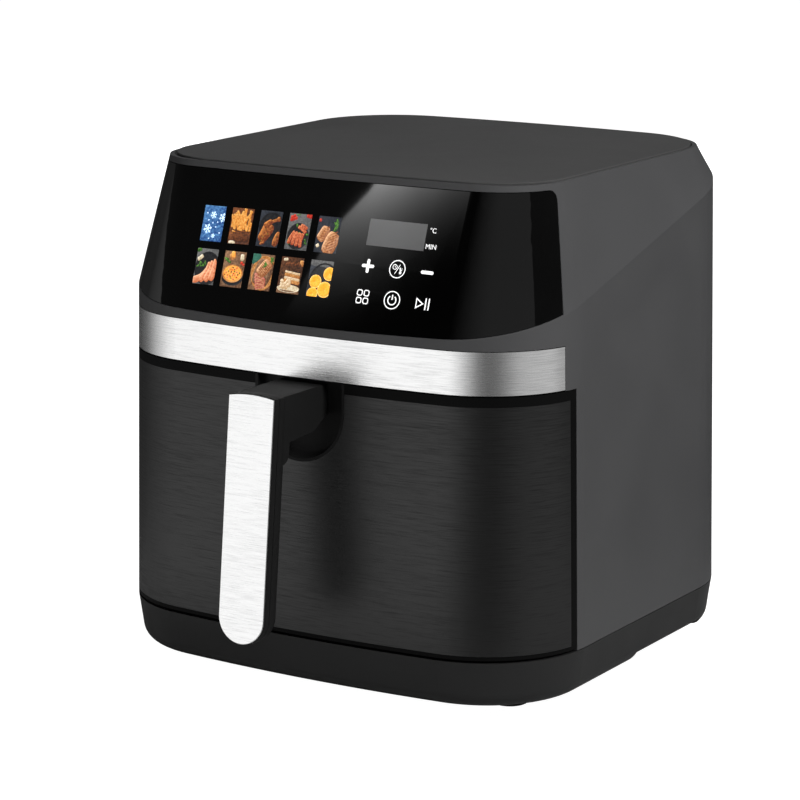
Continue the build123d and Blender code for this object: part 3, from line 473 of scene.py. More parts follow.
# %% Finishes of the outside
GREY_DARK, GREY_LIGHT = (0.040, 0.040, 0.041), (0.045, 0.045, 0.046)
finish = {
    "housing_matte": moulded("housing_satin", GREY_DARK, GREY_LIGHT, 0.48, specular=0.35),
    "top_matte": moulded("top_plate_matte", grey(0.038), grey(0.042), 0.62, specular=0.35),
    "gloss_black": moulded("gloss_black", grey(0.0008), grey(0.0014), 0.03, 0.0, 300),
    "dark_plastic": moulded("frame_black", grey(0.002), grey(0.003), 0.45, specular=0.05),
    "base_plastic": moulded("base_black", grey(0.009), grey(0.013), 0.5, specular=0.35),
    "grip_plastic": moulded("grip_satin", grey(0.006), grey(0.008), 0.5, 0.00001, specular=0.2),
    "bright_steel": brushed("steel_brushed", grey(0.62), grey(1.0), 0.26, 1.0, 0.00004),
    "black_steel": brushed("black_steel_brushed", grey(0.024), grey(0.050), 0.38, 0.92, 0.00003),
    "rubber": moulded("foot_rubber", grey(0.006), grey(0.010), 0.7, 0.00004, 900, specular=0.2),
}
pocket_black = moulded("pocket_black", grey(0.005), grey(0.008), 0.6, specular=0.15)
print("outside finishes:", len(finish) + 1)

# %% [markdown]
# Inside, the chamber and brackets are aluminised sheet, which is dull and spangled, the pan and
# the crisper plate have a speckled non-stick coating, and the heater's sheath has turned brown.
# These show when the drawer is open.

# %% Finishes of the inside
finish.update(
    {
        "sheet_steel": brushed(
            "aluminised_sheet", (0.40, 0.41, 0.42), (0.56, 0.57, 0.58), 0.42, 1.0, 0.00002, 60, 90
        ),
        "sheath_steel": moulded(
            "heater_sheath", (0.06, 0.045, 0.035), (0.14, 0.10, 0.08), 0.5, 0.00003, 500
        ),
        "nonstick": moulded("nonstick_coating", grey(0.012), grey(0.022), 0.36, 0.00006, 1100),
        "motor_paint": moulded(
            "motor_plating", (0.30, 0.30, 0.31), (0.42, 0.42, 0.43), 0.4, 0.00002, 700
        ),
        "aluminium": brushed(
            "fan_aluminium", (0.60, 0.60, 0.61), (0.78, 0.78, 0.79), 0.35, 1.0, 0.00002, 120, 160
        ),
        "fan_plastic": moulded("natural_nylon", (0.62, 0.60, 0.54), (0.70, 0.68, 0.62), 0.5),
        "fastener": brushed(
            "plated_screws", (0.45, 0.45, 0.46), (0.65, 0.65, 0.66), 0.28, 1.0, 0.00001, 300, 500
        ),
        "silicone": moulded("silicone_grey", grey(0.05), grey(0.075), 0.55, 0.00003, 800),
        "circuit_board": moulded(
            "solder_mask", (0.010, 0.075, 0.030), (0.016, 0.11, 0.045), 0.3, 0.00002, 400
        ),
        "component": moulded("component_moulding", (0.02, 0.02, 0.022), (0.03, 0.03, 0.033), 0.4),
        "switch_plastic": moulded("switch_red", (0.35, 0.03, 0.02), (0.42, 0.04, 0.03), 0.4),
    }
)
print("all finishes:", len(finish) + 1)

# %% [markdown]
# ## Lit menu pictures
# Ten small pictures of dishes are printed on the back of the panel and lit from behind. A flat
# colour would not read as food, and an image file is not wanted, so each dish is modelled as a
# small relief: rounded lumps, plates and sticks are laid on a ground, cropped to the picture's
# edges, and pressed flat into the panel's recess. A print carries its own light and shade, so
# each point keeps a "shade" value from before the pressing, and the ink's colour runs from dark
# to light with it.

# %% Printing inks
INKS = {
    "frost": ((0.006, 0.035, 0.14), (0.16, 0.42, 0.74)),
    "snow": ((0.45, 0.66, 0.92), (0.95, 0.98, 1.0)),
    "chips": ((0.42, 0.13, 0.012), (1.0, 0.66, 0.20)),
    "wicker": ((0.030, 0.008, 0.003), (0.34, 0.11, 0.035)),
    "slate": ((0.006, 0.008, 0.012), (0.055, 0.060, 0.075)),
    "stone": ((0.045, 0.045, 0.045), (0.22, 0.22, 0.215)),
    "roast": ((0.085, 0.014, 0.004), (0.80, 0.30, 0.07)),
    "sausage": ((0.22, 0.025, 0.008), (1.0, 0.40, 0.17)),
    "tomato": ((0.22, 0.006, 0.004), (0.90, 0.09, 0.035)),
    "herbs": ((0.006, 0.035, 0.003), (0.20, 0.46, 0.07)),
    "iron": ((0.002, 0.002, 0.003), (0.030, 0.030, 0.032)),
    "chop": ((0.20, 0.065, 0.020), (0.95, 0.58, 0.32)),
    "prawn": ((0.40, 0.10, 0.035), (1.0, 0.60, 0.36)),
    "garlic": ((0.36, 0.28, 0.17), (0.95, 0.90, 0.74)),
    "cheese": ((0.62, 0.20, 0.02), (1.0, 0.70, 0.22)),
    "crust": ((0.22, 0.07, 0.015), (0.85, 0.46, 0.15)),
    "board": ((0.060, 0.026, 0.012), (0.46, 0.26, 0.14)),
    "ham": ((0.22, 0.030, 0.020), (0.86, 0.40, 0.30)),
    "cream": ((0.34, 0.21, 0.10), (1.0, 0.90, 0.70)),
    "cocoa": ((0.012, 0.004, 0.002), (0.22, 0.085, 0.035)),
    "citrus": ((0.62, 0.24, 0.006), (1.0, 0.66, 0.10)),
    "peel": ((0.80, 0.36, 0.03), (1.0, 0.82, 0.42)),
    "cloth": ((0.012, 0.065, 0.045), (0.07, 0.24, 0.16)),
}
PICTURE_GLOW = 1.05


def ink(name, dark, light):
    """Printed ink: dark to light with the stored shade and a mottle, under clear glossy film."""
    material, tree, shader = new_material("print_" + name)
    shade = add_node(tree, "ShaderNodeAttribute", attribute_name="shade")
    place = add_node(tree, "ShaderNodeTexCoord")
    mottle = add_node(tree, "ShaderNodeTexNoise")
    mottle.inputs["Scale"].default_value = 900.0
    mottle.inputs["Detail"].default_value = 4.0
    tree.links.new(place.outputs["Object"], mottle.inputs["Vector"])
    deeper = add_node(tree, "ShaderNodeMath", operation="POWER")
    deeper.inputs[1].default_value = 2.5
    both = add_node(tree, "ShaderNodeMath", operation="MULTIPLY_ADD")
    both.inputs[1].default_value = 1.25
    tree.links.new(shade.outputs["Fac"], deeper.inputs[0])
    tree.links.new(deeper.outputs[0], both.inputs[0])
    tree.links.new(spread(tree, mottle.outputs[0], -0.34, 0.34), both.inputs[2])
    mix = add_node(tree, "ShaderNodeMix", data_type="RGBA")
    mix.inputs[6].default_value = (*dark, 1)
    mix.inputs[7].default_value = (*light, 1)
    tree.links.new(both.outputs[0], mix.inputs[0])
    shader.inputs["Base Color"].default_value = (*dark, 1)
    tree.links.new(mix.outputs[2], shader.inputs["Emission Color"])
    shader.inputs["Emission Strength"].default_value = PICTURE_GLOW
    shader.inputs["Roughness"].default_value = 0.5
    shader.inputs["Coat Weight"].default_value = 1.0
    shader.inputs["Coat Roughness"].default_value = 0.04
    return material


inks = {name: ink(name, *colours) for name, colours in INKS.items()}
print("inks:", len(inks))

# %% [markdown]
# The ten picture recesses are ten separate solids of one fixed part, in a panel that leans back
# and is bowed. Each solid's own corner points say where its middle is and which way it faces, so
# nothing has to be measured twice.

# %% Where the pictures and keys are
def islands(node):
    """Corner points of each separate solid of a node, as one list for each solid."""
    shell = bmesh.new()
    shell.from_mesh(nodes[node].data)
    bmesh.ops.remove_doubles(shell, verts=shell.verts, dist=1e-6)
    shell.verts.ensure_lookup_table()
    seen, found = set(), []
    for start in shell.verts:
        if start.index in seen:
            continue
        seen.add(start.index)
        waiting, points = [start], []
        while waiting:
            vertex = waiting.pop()
            points.append(vertex.co.copy())
            for edge in vertex.link_edges:
                other = edge.other_vert(vertex)
                if other.index not in seen:
                    seen.add(other.index)
                    waiting.append(other)
        found.append(points)
    shell.free()
    return found


def middle(points):
    """Middle of the box round some points."""
    low = Vector([min(p[k] for p in points) for k in range(3)])
    high = Vector([max(p[k] for p in points) for k in range(3)])
    return (low + high) / 2


def flat_frame(points):
    """Middle, and directions right, up and out, of a thin flat solid on the front."""
    edge = 0.4 * MM
    left = middle([p for p in points if p.x < min(q.x for q in points) + edge])
    right = middle([p for p in points if p.x > max(q.x for q in points) - edge])
    foot = middle([p for p in points if p.z < min(q.z for q in points) + edge])
    head = middle([p for p in points if p.z > max(q.z for q in points) - edge])
    across = (right - left).normalized()
    out = across.cross(head - foot).normalized()
    return middle(points), across, out.cross(across), out


def span_along(points, way):
    """How far some points spread along a direction."""
    along = [p.dot(way) for p in points]
    return max(along) - min(along)


def reading_order(points):
    """Sorting key: lower row first, and from left to right in a row."""
    centre = middle(points)
    return (round(centre.z, 3), centre.x)


tile_solids = sorted(islands("menu_pictures"), key=reading_order)
tiles = [flat_frame(points) for points in tile_solids]
lower_row, upper_row = tiles[:5], tiles[5:]
TILE_WIDE, TILE_HIGH, TILE_DEEP = (span_along(tile_solids[2], way) for way in tiles[2][1:])
print("pictures:", len(tiles), "size mm", [round(v / MM, 2) for v in (TILE_WIDE, TILE_HIGH, TILE_DEEP)])


def on_panel(flat, right=0.0, up=0.0, out=0.0):
    """Matrix from a flat sheet in millimetres to the panel, moved right, up and out in metres."""
    centre, across, upwards, outwards = flat
    turn = Matrix((across, upwards, outwards)).transposed().to_4x4()
    moved = centre + across * right + upwards * up + outwards * out
    return Matrix.Translation(moved) @ turn @ Matrix.Scale(MM, 4)


# %% [markdown]
# A dish is built on a flat sheet in millimetres, x to the right and y up, from a few kinds of
# piece: a rounded lump that can be bent and tapered, a round dish, and a ground slab. Each is
# cropped to the picture as it is laid.

# %% Tools for the reliefs, which work in millimetres on a flat sheet
SHEET_MARGIN = 0.02
HALF_WIDE = TILE_WIDE / MM / 2 - SHEET_MARGIN
HALF_HIGH = TILE_HIGH / MM / 2 - SHEET_MARGIN
PRINT_LIGHT = Vector((-0.50, 0.60, 0.50)).normalized()
PRESSED_DEPTH = 0.60 * TILE_DEEP / MM
PRESSED_START = 0.30 * TILE_DEEP / MM
laid = []


def modify(piece, kind, **settings):
    """Adds a modifier with those settings and applies it."""
    modifier = piece.modifiers.new("step", kind)
    for key, value in settings.items():
        setattr(modifier, key, value)
    bpy.ops.object.modifier_apply(modifier=modifier.name)


def keep_side(point, outward):
    """In edit mode, cuts the whole piece by a plane, drops its outward side, and closes the cut."""
    bpy.ops.mesh.select_all(action="SELECT")
    bpy.ops.mesh.bisect(plane_co=point, plane_no=outward, use_fill=True, clear_outer=True)


def store_shade(piece):
    """Stores how much of the print's own light each point gets, before the relief is pressed flat."""
    shade = piece.data.attributes.new("shade", "FLOAT", "POINT")
    for vertex, value in zip(piece.data.vertices, shade.data):
        value.value = max(0.0, vertex.normal.dot(PRINT_LIGHT))


def lay(piece, name, place, turn):
    """Turns a piece on the sheet, moves it to place, colours it, and crops it to the picture."""
    piece.rotation_euler.z = radians(turn)
    piece.location = place
    bpy.ops.object.transform_apply(location=True, rotation=True, scale=True)
    piece.data.materials.clear()
    piece.data.materials.append(inks[name])
    store_shade(piece)
    bpy.ops.object.mode_set(mode="EDIT")
    keep_side((0, 0, 0), (0, 0, -1))
    spans = [[v.co[k] for v in piece.data.vertices] for k in range(2)]
    for axis, half in ((0, HALF_WIDE), (1, HALF_HIGH)):
        for side in (-1, 1):
            if max(side * value for value in spans[axis]) > half:
                edge = [0, 0, 0]
                edge[axis] = side
                keep_side([half * e for e in edge], edge)
    bpy.ops.object.mode_set(mode="OBJECT")
    laid.append(piece)


def lump(name, size, place, turn=0.0, bend=0.0, taper=0.0, cuts=1):
    """A rounded lump, long in x before it is turned; more cuts make it squarer."""
    bpy.ops.object.select_all(action="DESELECT")
    bpy.ops.mesh.primitive_cube_add(size=1)
    piece = bpy.context.object
    piece.scale = size
    bpy.ops.object.transform_apply(location=False, rotation=False, scale=True)
    bpy.ops.object.mode_set(mode="EDIT")
    bpy.ops.mesh.subdivide(number_cuts=cuts)
    bpy.ops.object.mode_set(mode="OBJECT")
    modify(piece, "SUBSURF", levels=2, render_levels=2)
    if taper:
        modify(piece, "SIMPLE_DEFORM", deform_method="TAPER", deform_axis="X", factor=taper)
    if bend:
        modify(piece, "SIMPLE_DEFORM", deform_method="BEND", deform_axis="Z", angle=radians(bend))
    lay(piece, name, place, turn)


def dish(name, radius, place, thick=1.0, squash=1.0, well=0.35):
    """A round plate, pan or slice with a rolled rim and a sunk middle."""
    bpy.ops.object.select_all(action="DESELECT")
    bpy.ops.mesh.primitive_cylinder_add(vertices=36, radius=radius, depth=thick, end_fill_type="NGON")
    piece = bpy.context.object
    bpy.ops.object.mode_set(mode="EDIT")
    bpy.ops.mesh.select_all(action="DESELECT")
    shell = bmesh.from_edit_mesh(piece.data)
    for face in shell.faces:
        face.select_set(face.normal.z > 0.9)
    bmesh.update_edit_mesh(piece.data)
    bpy.ops.mesh.inset(thickness=radius * 0.10)
    bpy.ops.transform.translate(value=(0, 0, -thick * well))
    bpy.ops.mesh.inset(thickness=radius * 0.06)
    bpy.ops.object.mode_set(mode="OBJECT")
    modify(piece, "BEVEL", width=thick * 0.22, segments=2)
    piece.scale.y = squash
    lay(piece, name, place, 0)


def ground(name):
    """The picture's background: a thin slab with a soft edge."""
    bpy.ops.object.select_all(action="DESELECT")
    bpy.ops.mesh.primitive_cube_add(size=1, location=(0, 0, 0))
    piece = bpy.context.object
    piece.scale = (2 * HALF_WIDE, 2 * HALF_HIGH, 0.6)
    bpy.ops.object.transform_apply(location=False, rotation=False, scale=True)
    modify(piece, "BEVEL", width=0.12, segments=2)
    lay(piece, name, (0, 0, 0), 0)


def press(title, tile):
    """Joins what was laid, presses it into the recess, and mounts it on the housing."""
    bpy.ops.object.select_all(action="DESELECT")
    for piece in laid:
        piece.select_set(True)
    bpy.context.view_layer.objects.active = laid[0]
    bpy.ops.object.join()
    picture = bpy.context.object
    picture.name = "menu_picture_" + title
    highest = max(v.co.z for v in picture.data.vertices)
    bpy.ops.object.mode_set(mode="EDIT")
    bpy.ops.mesh.select_all(action="SELECT")
    bpy.ops.transform.resize(value=(1, 1, PRESSED_DEPTH / highest), center_override=(0, 0, 0))
    bpy.ops.transform.translate(value=(0, 0, PRESSED_START))
    bpy.ops.object.mode_set(mode="OBJECT")
    picture.data.transform(on_panel(tile, out=-TILE_DEEP / 2))
    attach(picture, "housing")
    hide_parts("menu_pictures")
    laid.clear()
    print(picture.name, len(picture.data.polygons), "faces")


print("sheet mm:", round(2 * HALF_WIDE, 2), "by", round(2 * HALF_HIGH, 2))

# %% [markdown]
# The first picture is the defrost setting: snow crystals on blue. One arm of a crystal is a bar
# with a pair of barbs, and six arms at 60 degrees make the crystal.

# %% Snow crystals
def crystal(radius, x, y):
    """Six-armed snow crystal."""
    for arm in range(6):
        angle = 60 * arm + 15
        along = Vector((cos(radians(angle)), sin(radians(angle))))
        stem = along * radius * 0.5
        lump("snow", (radius, radius * 0.20, 1.2), (x + stem.x, y + stem.y, 0.5), angle, cuts=2)
        for side in (-1, 1):
            barb = angle + side * 52
            root = along * radius * 0.55
            tip = Vector((cos(radians(barb)), sin(radians(barb)))) * radius * 0.16
            spot = (x + root.x + tip.x, y + root.y + tip.y, 0.5)
            lump("snow", (radius * 0.38, radius * 0.16, 1.0), spot, barb)


ground("frost")
for x, y, size in ((-5, 8, 5), (4, 8.5, 6), (5.5, -3, 5), (-3, -8.4, 7), (4, -8, 6), (-5, 1, 4)):
    lump("frost", (size, size * 0.7, 0.8), (x, y, 0.1), 30 * size)
for radius, x, y in ((2.3, -0.6, 5.0), (2.8, 6.3, 3.8), (3.0, -3.4, -3.2), (1.4, 1.2, -7.2)):
    crystal(radius, x, y)
for x, y in ((3.0, 1.0), (-3.6, 1.8), (2.2, -1.9), (-0.4, 0.4), (-5.2, 6.0), (5.4, -5.2), (-1.5, -8.9)):
    lump("snow", (0.8, 0.8, 0.9), (x, y, 0.5))
press("defrost", upper_row[0])

# %% [markdown]
# Chips stand in a woven basket. The sticks fan out from its mouth, so their turn follows their
# place, with a small repeatable scatter from a seeded random generator.

# %% Chips in a basket
scatter = random.Random(7)
ground("wicker")
for k in range(30):
    x = scatter.uniform(-6.8, 6.8)
    y = scatter.uniform(-1.5, 7.0)
    turn = 90 - x * 4 + scatter.uniform(-32, 32)
    lump("chips", (scatter.uniform(6.5, 9.5), 1.35, 1.5), (x, y, 0.6 + 0.07 * k), turn, cuts=3)
lump("wicker", (15, 7.5, 5.0), (0, -6.2, 0.4), 0)
for k in range(9):
    strand = (0.3, -3.2 - 0.8 * k, 3.0 - 0.22 * k)
    lump("wicker", (14, 0.75, 0.8), strand, -4 + 8 * (k % 2), bend=24, cuts=3)
lump("garlic", (4.6, 2.2, 2.2), (-4.6, -9.8, 1.6), 10)
press("chips", upper_row[1])

# %% [markdown]
# A roast leg lies in a round black pan. The leg is a thick tapered lump, its shank a thinner one
# turned the other way, and the bone end two small ones. Bent flakes of herbs lie on top.

# %% Roast leg
ground("slate")
dish("iron", 8.2, (0.8, 1.6, 0.5), 1.2)
lump("roast", (12.0, 7.4, 5.0), (-2.2, -2.6, 1.4), 62, bend=18, taper=0.35)
lump("roast", (6.2, 3.8, 3.6), (-1.2, 2.9, 3.2), 38, taper=-0.3)
lump("roast", (5.4, 1.9, 2.2), (3.2, 5.0, 3.0), 22, cuts=2)
lump("roast", (2.2, 2.9, 2.4), (5.6, 6.0, 3.1), 15)
lump("roast", (8.6, 4.4, 3.6), (6.1, -5.6, 1.4), 68, bend=-20, taper=0.3)
for x, y in ((-3.6, -4.6), (-2.4, -0.4), (-0.6, -3.0), (-4.6, -7.0), (-0.2, 2.6), (5.8, -4.0)):
    lump("herbs", (0.9, 0.35, 0.5), (x, y, 4.0), 40 * x, bend=30)
lump("roast", (3.4, 1.4, 1.6), (-3.4, -8.6, 2.4), 20)
press("roast_leg", upper_row[2])

# %% [markdown]
# Sausages lie side by side in a pan. They are the same bent lump in a row, each a little lower
# and more turned. Tomatoes and herbs round the pan are balls and flakes.

# %% Sausages in a pan
ground("stone")
dish("iron", 7.3, (0.1, -2.6, 0.8), 1.6, 1.06)
for k in range(4):
    link = (-4.4 + 2.35 * k, -3.4 - 0.45 * k, 2.2)
    lump("sausage", (8.2, 2.15, 2.4), link, 66 + 6 * k, bend=-34, cuts=3)
lump("sausage", (6.6, 2.0, 2.4), (2.6, 1.6, 2.8), -30, bend=-26, cuts=3)
lump("sausage", (5.0, 1.9, 2.4), (3.6, 3.2, 2.5), -24, bend=-22, cuts=3)
for x, y in ((-5.7, -5.0), (-4.9, -7.0), (5.6, -4.6), (6.2, -6.4), (-1.4, 3.6), (0.6, -0.8), (6.4, -1.2)):
    lump("herbs", (1.9, 1.1, 1.2), (x, y, 2.6), 55 * x, bend=40)
for x, y in ((-5.8, 8.2), (-4.2, 8.9), (-3.0, 7.7), (-4.5, 7.1), (-5.9, 6.6)):
    lump("tomato", (1.9, 1.9, 1.9), (x, y, 1.0))
lump("tomato", (4.2, 2.6, 1.6), (6.0, 9.6, 0.8), -10)
lump("herbs", (3.0, 0.6, 0.8), (-1.6, 9.8, 0.8), 8)
press("sausages", upper_row[3])

# %% [markdown]
# Two chops on slate carry the bars of a grill. The bars are thin dark lumps that stand a little
# higher than the meat, so they stay dark lines once the relief is pressed.

# %% Grilled chops
ground("slate")
lump("chop", (9.4, 6.0, 3.4), (-3.0, 0.4, 0.8), 62, bend=22)
lump("chop", (13.0, 9.0, 4.0), (2.8, -4.6, 1.6), 70, bend=-12)
for k in range(7):
    lump("roast", (7.0 - 0.3 * k, 0.5, 0.7), (2.2 + 0.35 * k, -9.0 + 1.7 * k, 3.3), 24, cuts=2)
    lump("roast", (4.0, 0.45, 0.7), (-4.2 + 0.5 * k, -2.6 + 1.1 * k, 2.4), 18, cuts=2)
for k in range(9):
    sprig = (4.0 + 0.45 * (k % 5), 3.2 + 0.62 * k, 2.2 + 0.1 * k)
    lump("herbs", (3.0, 0.9, 0.9), sprig, 70 + 25 * (k % 3), bend=26)
lump("garlic", (2.2, 2.0, 1.8), (-5.6, -6.6, 1.8), 30)
lump("tomato", (1.6, 1.8, 1.4), (-6.4, 8.0, 1.0))
press("chops", upper_row[4])

# %% [markdown]
# A prawn is a bent lump that tapers to the tail, with thin bands across it where the shell's
# rings meet. Four of them overlap on a dark plate.

# %% Prawns on a dark plate
ground("stone")
dish("iron", 9.0, (1.2, -1.0, 0.4), 1.2, 1.1)
for k, (x, y, turn) in enumerate(((-2.2, -6.0, 40), (1.0, -3.4, 66), (3.6, -2.6, 76), (6.2, -1.6, 84))):
    lump("prawn", (13.0, 3.6, 3.0), (x, y, 1.2 + 0.6 * k), turn, bend=75 - 14 * k, taper=-0.75)
    for band in range(4):
        along = Vector((cos(radians(turn)), sin(radians(turn)))) * (2.2 * band - 3.2)
        lump("ham", (0.32, 2.0, 0.5), (x + along.x, y + along.y, 2.5 + 0.6 * k), turn, cuts=2)
lump("garlic", (3.0, 2.4, 2.4), (-4.2, 5.4, 1.4), 40)
lump("garlic", (2.4, 1.8, 2.0), (-5.8, 4.2, 1.6), 110)
for k in range(8):
    lump("herbs", (2.9, 0.7, 0.8), (-5.6 + 0.72 * k, 0.2 + 0.62 * (k % 4), 1.8), 35 + 37 * k, bend=28)
lump("herbs", (3.4, 2.0, 1.2), (-6.2, 9.4, 1.0), 20)
press("prawns", lower_row[0])

# %% [markdown]
# The pizza is seen from a low angle, so its dishes are squashed: pan, crust and cheese stack up.
# The toppings go round in a sunflower spiral, which spreads them evenly without any two on one
# spot.

# %% Pizza on a board
ground("board")
lump("board", (15, 1.0, 0.8), (0, 5.2, 0.4), 4, cuts=2)
dish("iron", 7.5, (0.2, -4.9, 0.9), 1.6, 0.62)
dish("crust", 7.3, (0, -2.5, 2.0), 2.0, 0.72, 0.3)
dish("cheese", 6.4, (0, -2.3, 2.9), 1.2, 0.70, 0.1)
for k in range(26):
    angle, reach = 2.4 * k, 0.95 * (k + 0.5) ** 0.5
    topping = ("tomato", "cocoa", "ham", "herbs", "cheese", "ham")[k % 6]
    spot = (1.15 * reach * cos(angle), -2.3 + 0.78 * reach * sin(angle), 3.9)
    lump(topping, (1.1, 0.75, 0.8), spot, 47 * k)
lump("crust", (4.2, 4.0, 2.6), (-1.8, 7.6, 1.0), 35)
lump("cheese", (2.6, 3.6, 2.2), (-1.6, 8.8, 2.0), 10)
lump("garlic", (2.6, 3.8, 2.2), (5.0, 7.4, 1.0), 5)
lump("herbs", (4.6, 1.3, 1.2), (-4.6, 4.6, 1.4), -28, bend=26)
lump("herbs", (3.2, 1.1, 1.2), (-5.8, 5.8, 1.2), -8, bend=20)
lump("tomato", (1.7, 1.7, 1.7), (5.2, 4.0, 1.4))
lump("tomato", (1.4, 1.4, 1.4), (6.6, 3.2, 1.2))
press("pizza", lower_row[1])

# %% [markdown]
# A joint of meat on a board is cut into slices. Each slice is a bent lump with a paler rind
# beside it, and they fan out because each is turned a little more than the one before.

# %% Sliced joint of meat
ground("board")
lump("cloth", (8, 6, 1.6), (-6.0, 8.4, 0.6), 40)
dish("crust", 8.4, (1.2, -0.4, 0.6), 1.0, 1.2, 0.2)
lump("board", (15.5, 12.5, 1.4), (1.0, -0.2, 1.0), 75)
lump("chop", (11.0, 7.4, 4.6), (1.4, 2.2, 2.0), 52, bend=10)
for k in range(6):
    lump("roast", (6.4, 0.4, 0.6), (0.2 + 0.55 * k, 0.2 + 0.95 * k, 4.2), -38, cuts=2)
for k in range(6):
    fan = -22 + 7 * k
    slice_at = (-0.4 + 0.2 * k, -2.6 - 1.25 * k, 2.6 - 0.15 * k)
    rind_at = (-0.2 + 0.2 * k, -3.2 - 1.25 * k, 3.4 - 0.15 * k)
    lump("ham", (8.4 - 0.4 * k, 1.9, 1.8), slice_at, fan, bend=-22, cuts=2)
    lump("chop", (7.6 - 0.4 * k, 0.5, 0.9), rind_at, fan, bend=-22, cuts=2)
for k in range(6):
    lump("herbs", (2.6, 0.6, 0.7), (1.4 + 0.5 * (k % 3), 3.4 + 0.35 * k, 4.5), 20 + 22 * k)
for k in range(5):
    lump("herbs", (2.4, 1.0, 1.0), (5.8 + 0.3 * (k % 2), 4.2 + 1.1 * k, 1.9), 60 + 30 * k, bend=30)
press("sliced_meat", lower_row[2])

# %% [markdown]
# The cake is a stack of squarish lumps, sponge and cream in turn, with cocoa on top and flakes of
# cream and chocolate round it.

# %% Layer cake
CAKE_LAYERS = (("crust", 2.2), ("cream", 1.5), ("crust", 1.9), ("cream", 1.4), ("cocoa", 2.6))

ground("cocoa")
lump("board", (16, 3.0, 1.2), (0, -9.8, 0.6), -3, cuts=2)
dish("garlic", 7.6, (0, -7.6, 1.0), 1.2, 0.30)
for k, (filling, high) in enumerate(CAKE_LAYERS):
    lump(filling, (11.0 - 0.2 * k, high, 2.6), (1.4, -3.6 + 1.75 * k, 1.8 + 0.1 * k), -6, cuts=3)
lump("cocoa", (9.6, 3.6, 2.8), (0.8, 5.4, 2.2), -8, cuts=2)
for k in range(9):
    lump("cream", (3.0, 2.2, 2.2), (-4.6 + 1.6 * (k % 4), -6.8 + 1.5 * (k // 3), 3.0), 40 * k, bend=30)
for k in range(7):
    lump("wicker", (2.0, 1.4, 1.4), (-3.4 + 1.5 * k, 6.2 + 0.7 * (k % 2), 3.4), 50 * k)
lump("garlic", (3.0, 1.6, 1.4), (-4.8, 9.0, 1.0), 10)
lump("crust", (2.8, 3.6, 1.6), (6.4, 7.4, 1.0), 5)
press("cake", lower_row[3])

# %% [markdown]
# Dried citrus slices: rind, pith and a ring of segments. A segment is a tapered lump whose point
# faces the middle.

# %% Citrus slices
FRUIT = ((3.9, -2.6, -1.8), (3.9, 5.8, 3.2), (3.6, -3.4, -8.9), (4.6, 4.2, -6.0))


def citrus(radius, x, y, low):
    """A slice of fruit with ten segments."""
    dish("peel", radius, (x, y, low), 1.2, 1.0, 0.2)
    dish("cheese", radius * 0.88, (x, y, low + 0.3), 0.9, 1.0, 0.2)
    for k in range(10):
        angle = 36 * k
        reach = radius * 0.46
        spot = (x + reach * cos(radians(angle)), y + reach * sin(radians(angle)), low + 0.6)
        lump("citrus", (radius * 0.72, radius * 0.40, 0.9), spot, angle, taper=0.9, cuts=2)


ground("slate")
lump("stone", (16, 5, 0.8), (0, 9.2, 0.2), -4, cuts=2)
dish("iron", 10.0, (2.4, -2.2, 0.4), 1.0, 1.15)
for k, (radius, x, y) in enumerate(FRUIT):
    citrus(radius, x, y, 1.2 + 0.5 * k)
press("citrus", lower_row[4])

# %% [markdown]
# ## Symbols in the two round keys
# The rings and the simple signs are inlays of the fixed panel. Inside the rings stand a power
# sign, and a clock and a thermometer with a stroke between them for the key that switches the
# display. They are printed lines, so they are drawn with two tools: a bar with round ends, and an
# arc that is spun from a small ring of points.

# %% Material of the white print, with a faint painted glow
glowing_white_print, tree, shader = new_material("key_white_painted_glow")
group = add_node(tree, "ShaderNodeGroup", node_tree=moulding)
tint = tint_between(tree, group.outputs["Sheen"], grey(0.80), grey(0.92))
tree.links.new(tint, shader.inputs["Base Color"])
# The emission is a painted glow that keeps the white print bright on the dark panel.
shader.inputs["Emission Color"].default_value = (1, 1, 1, 1)
shader.inputs["Emission Strength"].default_value = 0.5
shader.inputs["Roughness"].default_value = 0.4
print("print:", glowing_white_print.name)

# %% [markdown]
# A sign is drawn in millimetres round its key's middle, like the dishes. Its lines are then
# joined, pressed to the thickness of a print, and laid on the panel's face.

# %% Line tools
PRINT_THICK = 0.05
ARC_STEPS = 36
ARC_SIDES = 10
lines = []


def bar(length, width, place, turn):
    """A flat line with round ends."""
    bpy.ops.object.select_all(action="DESELECT")
    bpy.ops.mesh.primitive_cube_add(size=1)
    piece = bpy.context.object
    piece.scale = (length, width, width)
    bpy.ops.object.transform_apply(location=False, rotation=False, scale=True)
    modify(piece, "BEVEL", width=width * 0.42, segments=3)
    piece.rotation_euler.z = radians(turn)
    piece.location = (*place, 0)
    bpy.ops.object.transform_apply(location=True, rotation=True, scale=True)
    lines.append(piece)


def arc(radius, width, place, start, sweep):
    """Part of a ring, from start through sweep degrees."""
    bpy.ops.object.select_all(action="DESELECT")
    first = (radius * cos(radians(start)), radius * sin(radians(start)), 0)
    bpy.ops.mesh.primitive_circle_add(
        vertices=ARC_SIDES,
        radius=width / 2,
        fill_type="NOTHING",
        location=first,
        rotation=(pi / 2, 0, radians(start)),
    )
    piece = bpy.context.object
    bpy.ops.object.transform_apply(location=True, rotation=True, scale=True)
    bpy.ops.object.mode_set(mode="EDIT")
    bpy.ops.mesh.select_all(action="SELECT")
    bpy.ops.mesh.spin(steps=ARC_STEPS, angle=radians(sweep), center=(0, 0, 0), axis=(0, 0, -1))
    bpy.ops.mesh.select_all(action="SELECT")
    bpy.ops.mesh.remove_doubles(threshold=0.001)
    bpy.ops.mesh.fill_holes(sides=ARC_SIDES)
    bpy.ops.mesh.normals_make_consistent(inside=False)
    bpy.ops.object.mode_set(mode="OBJECT")
    piece.location = (*place, 0)
    bpy.ops.object.transform_apply(location=True, rotation=True, scale=True)
    lines.append(piece)


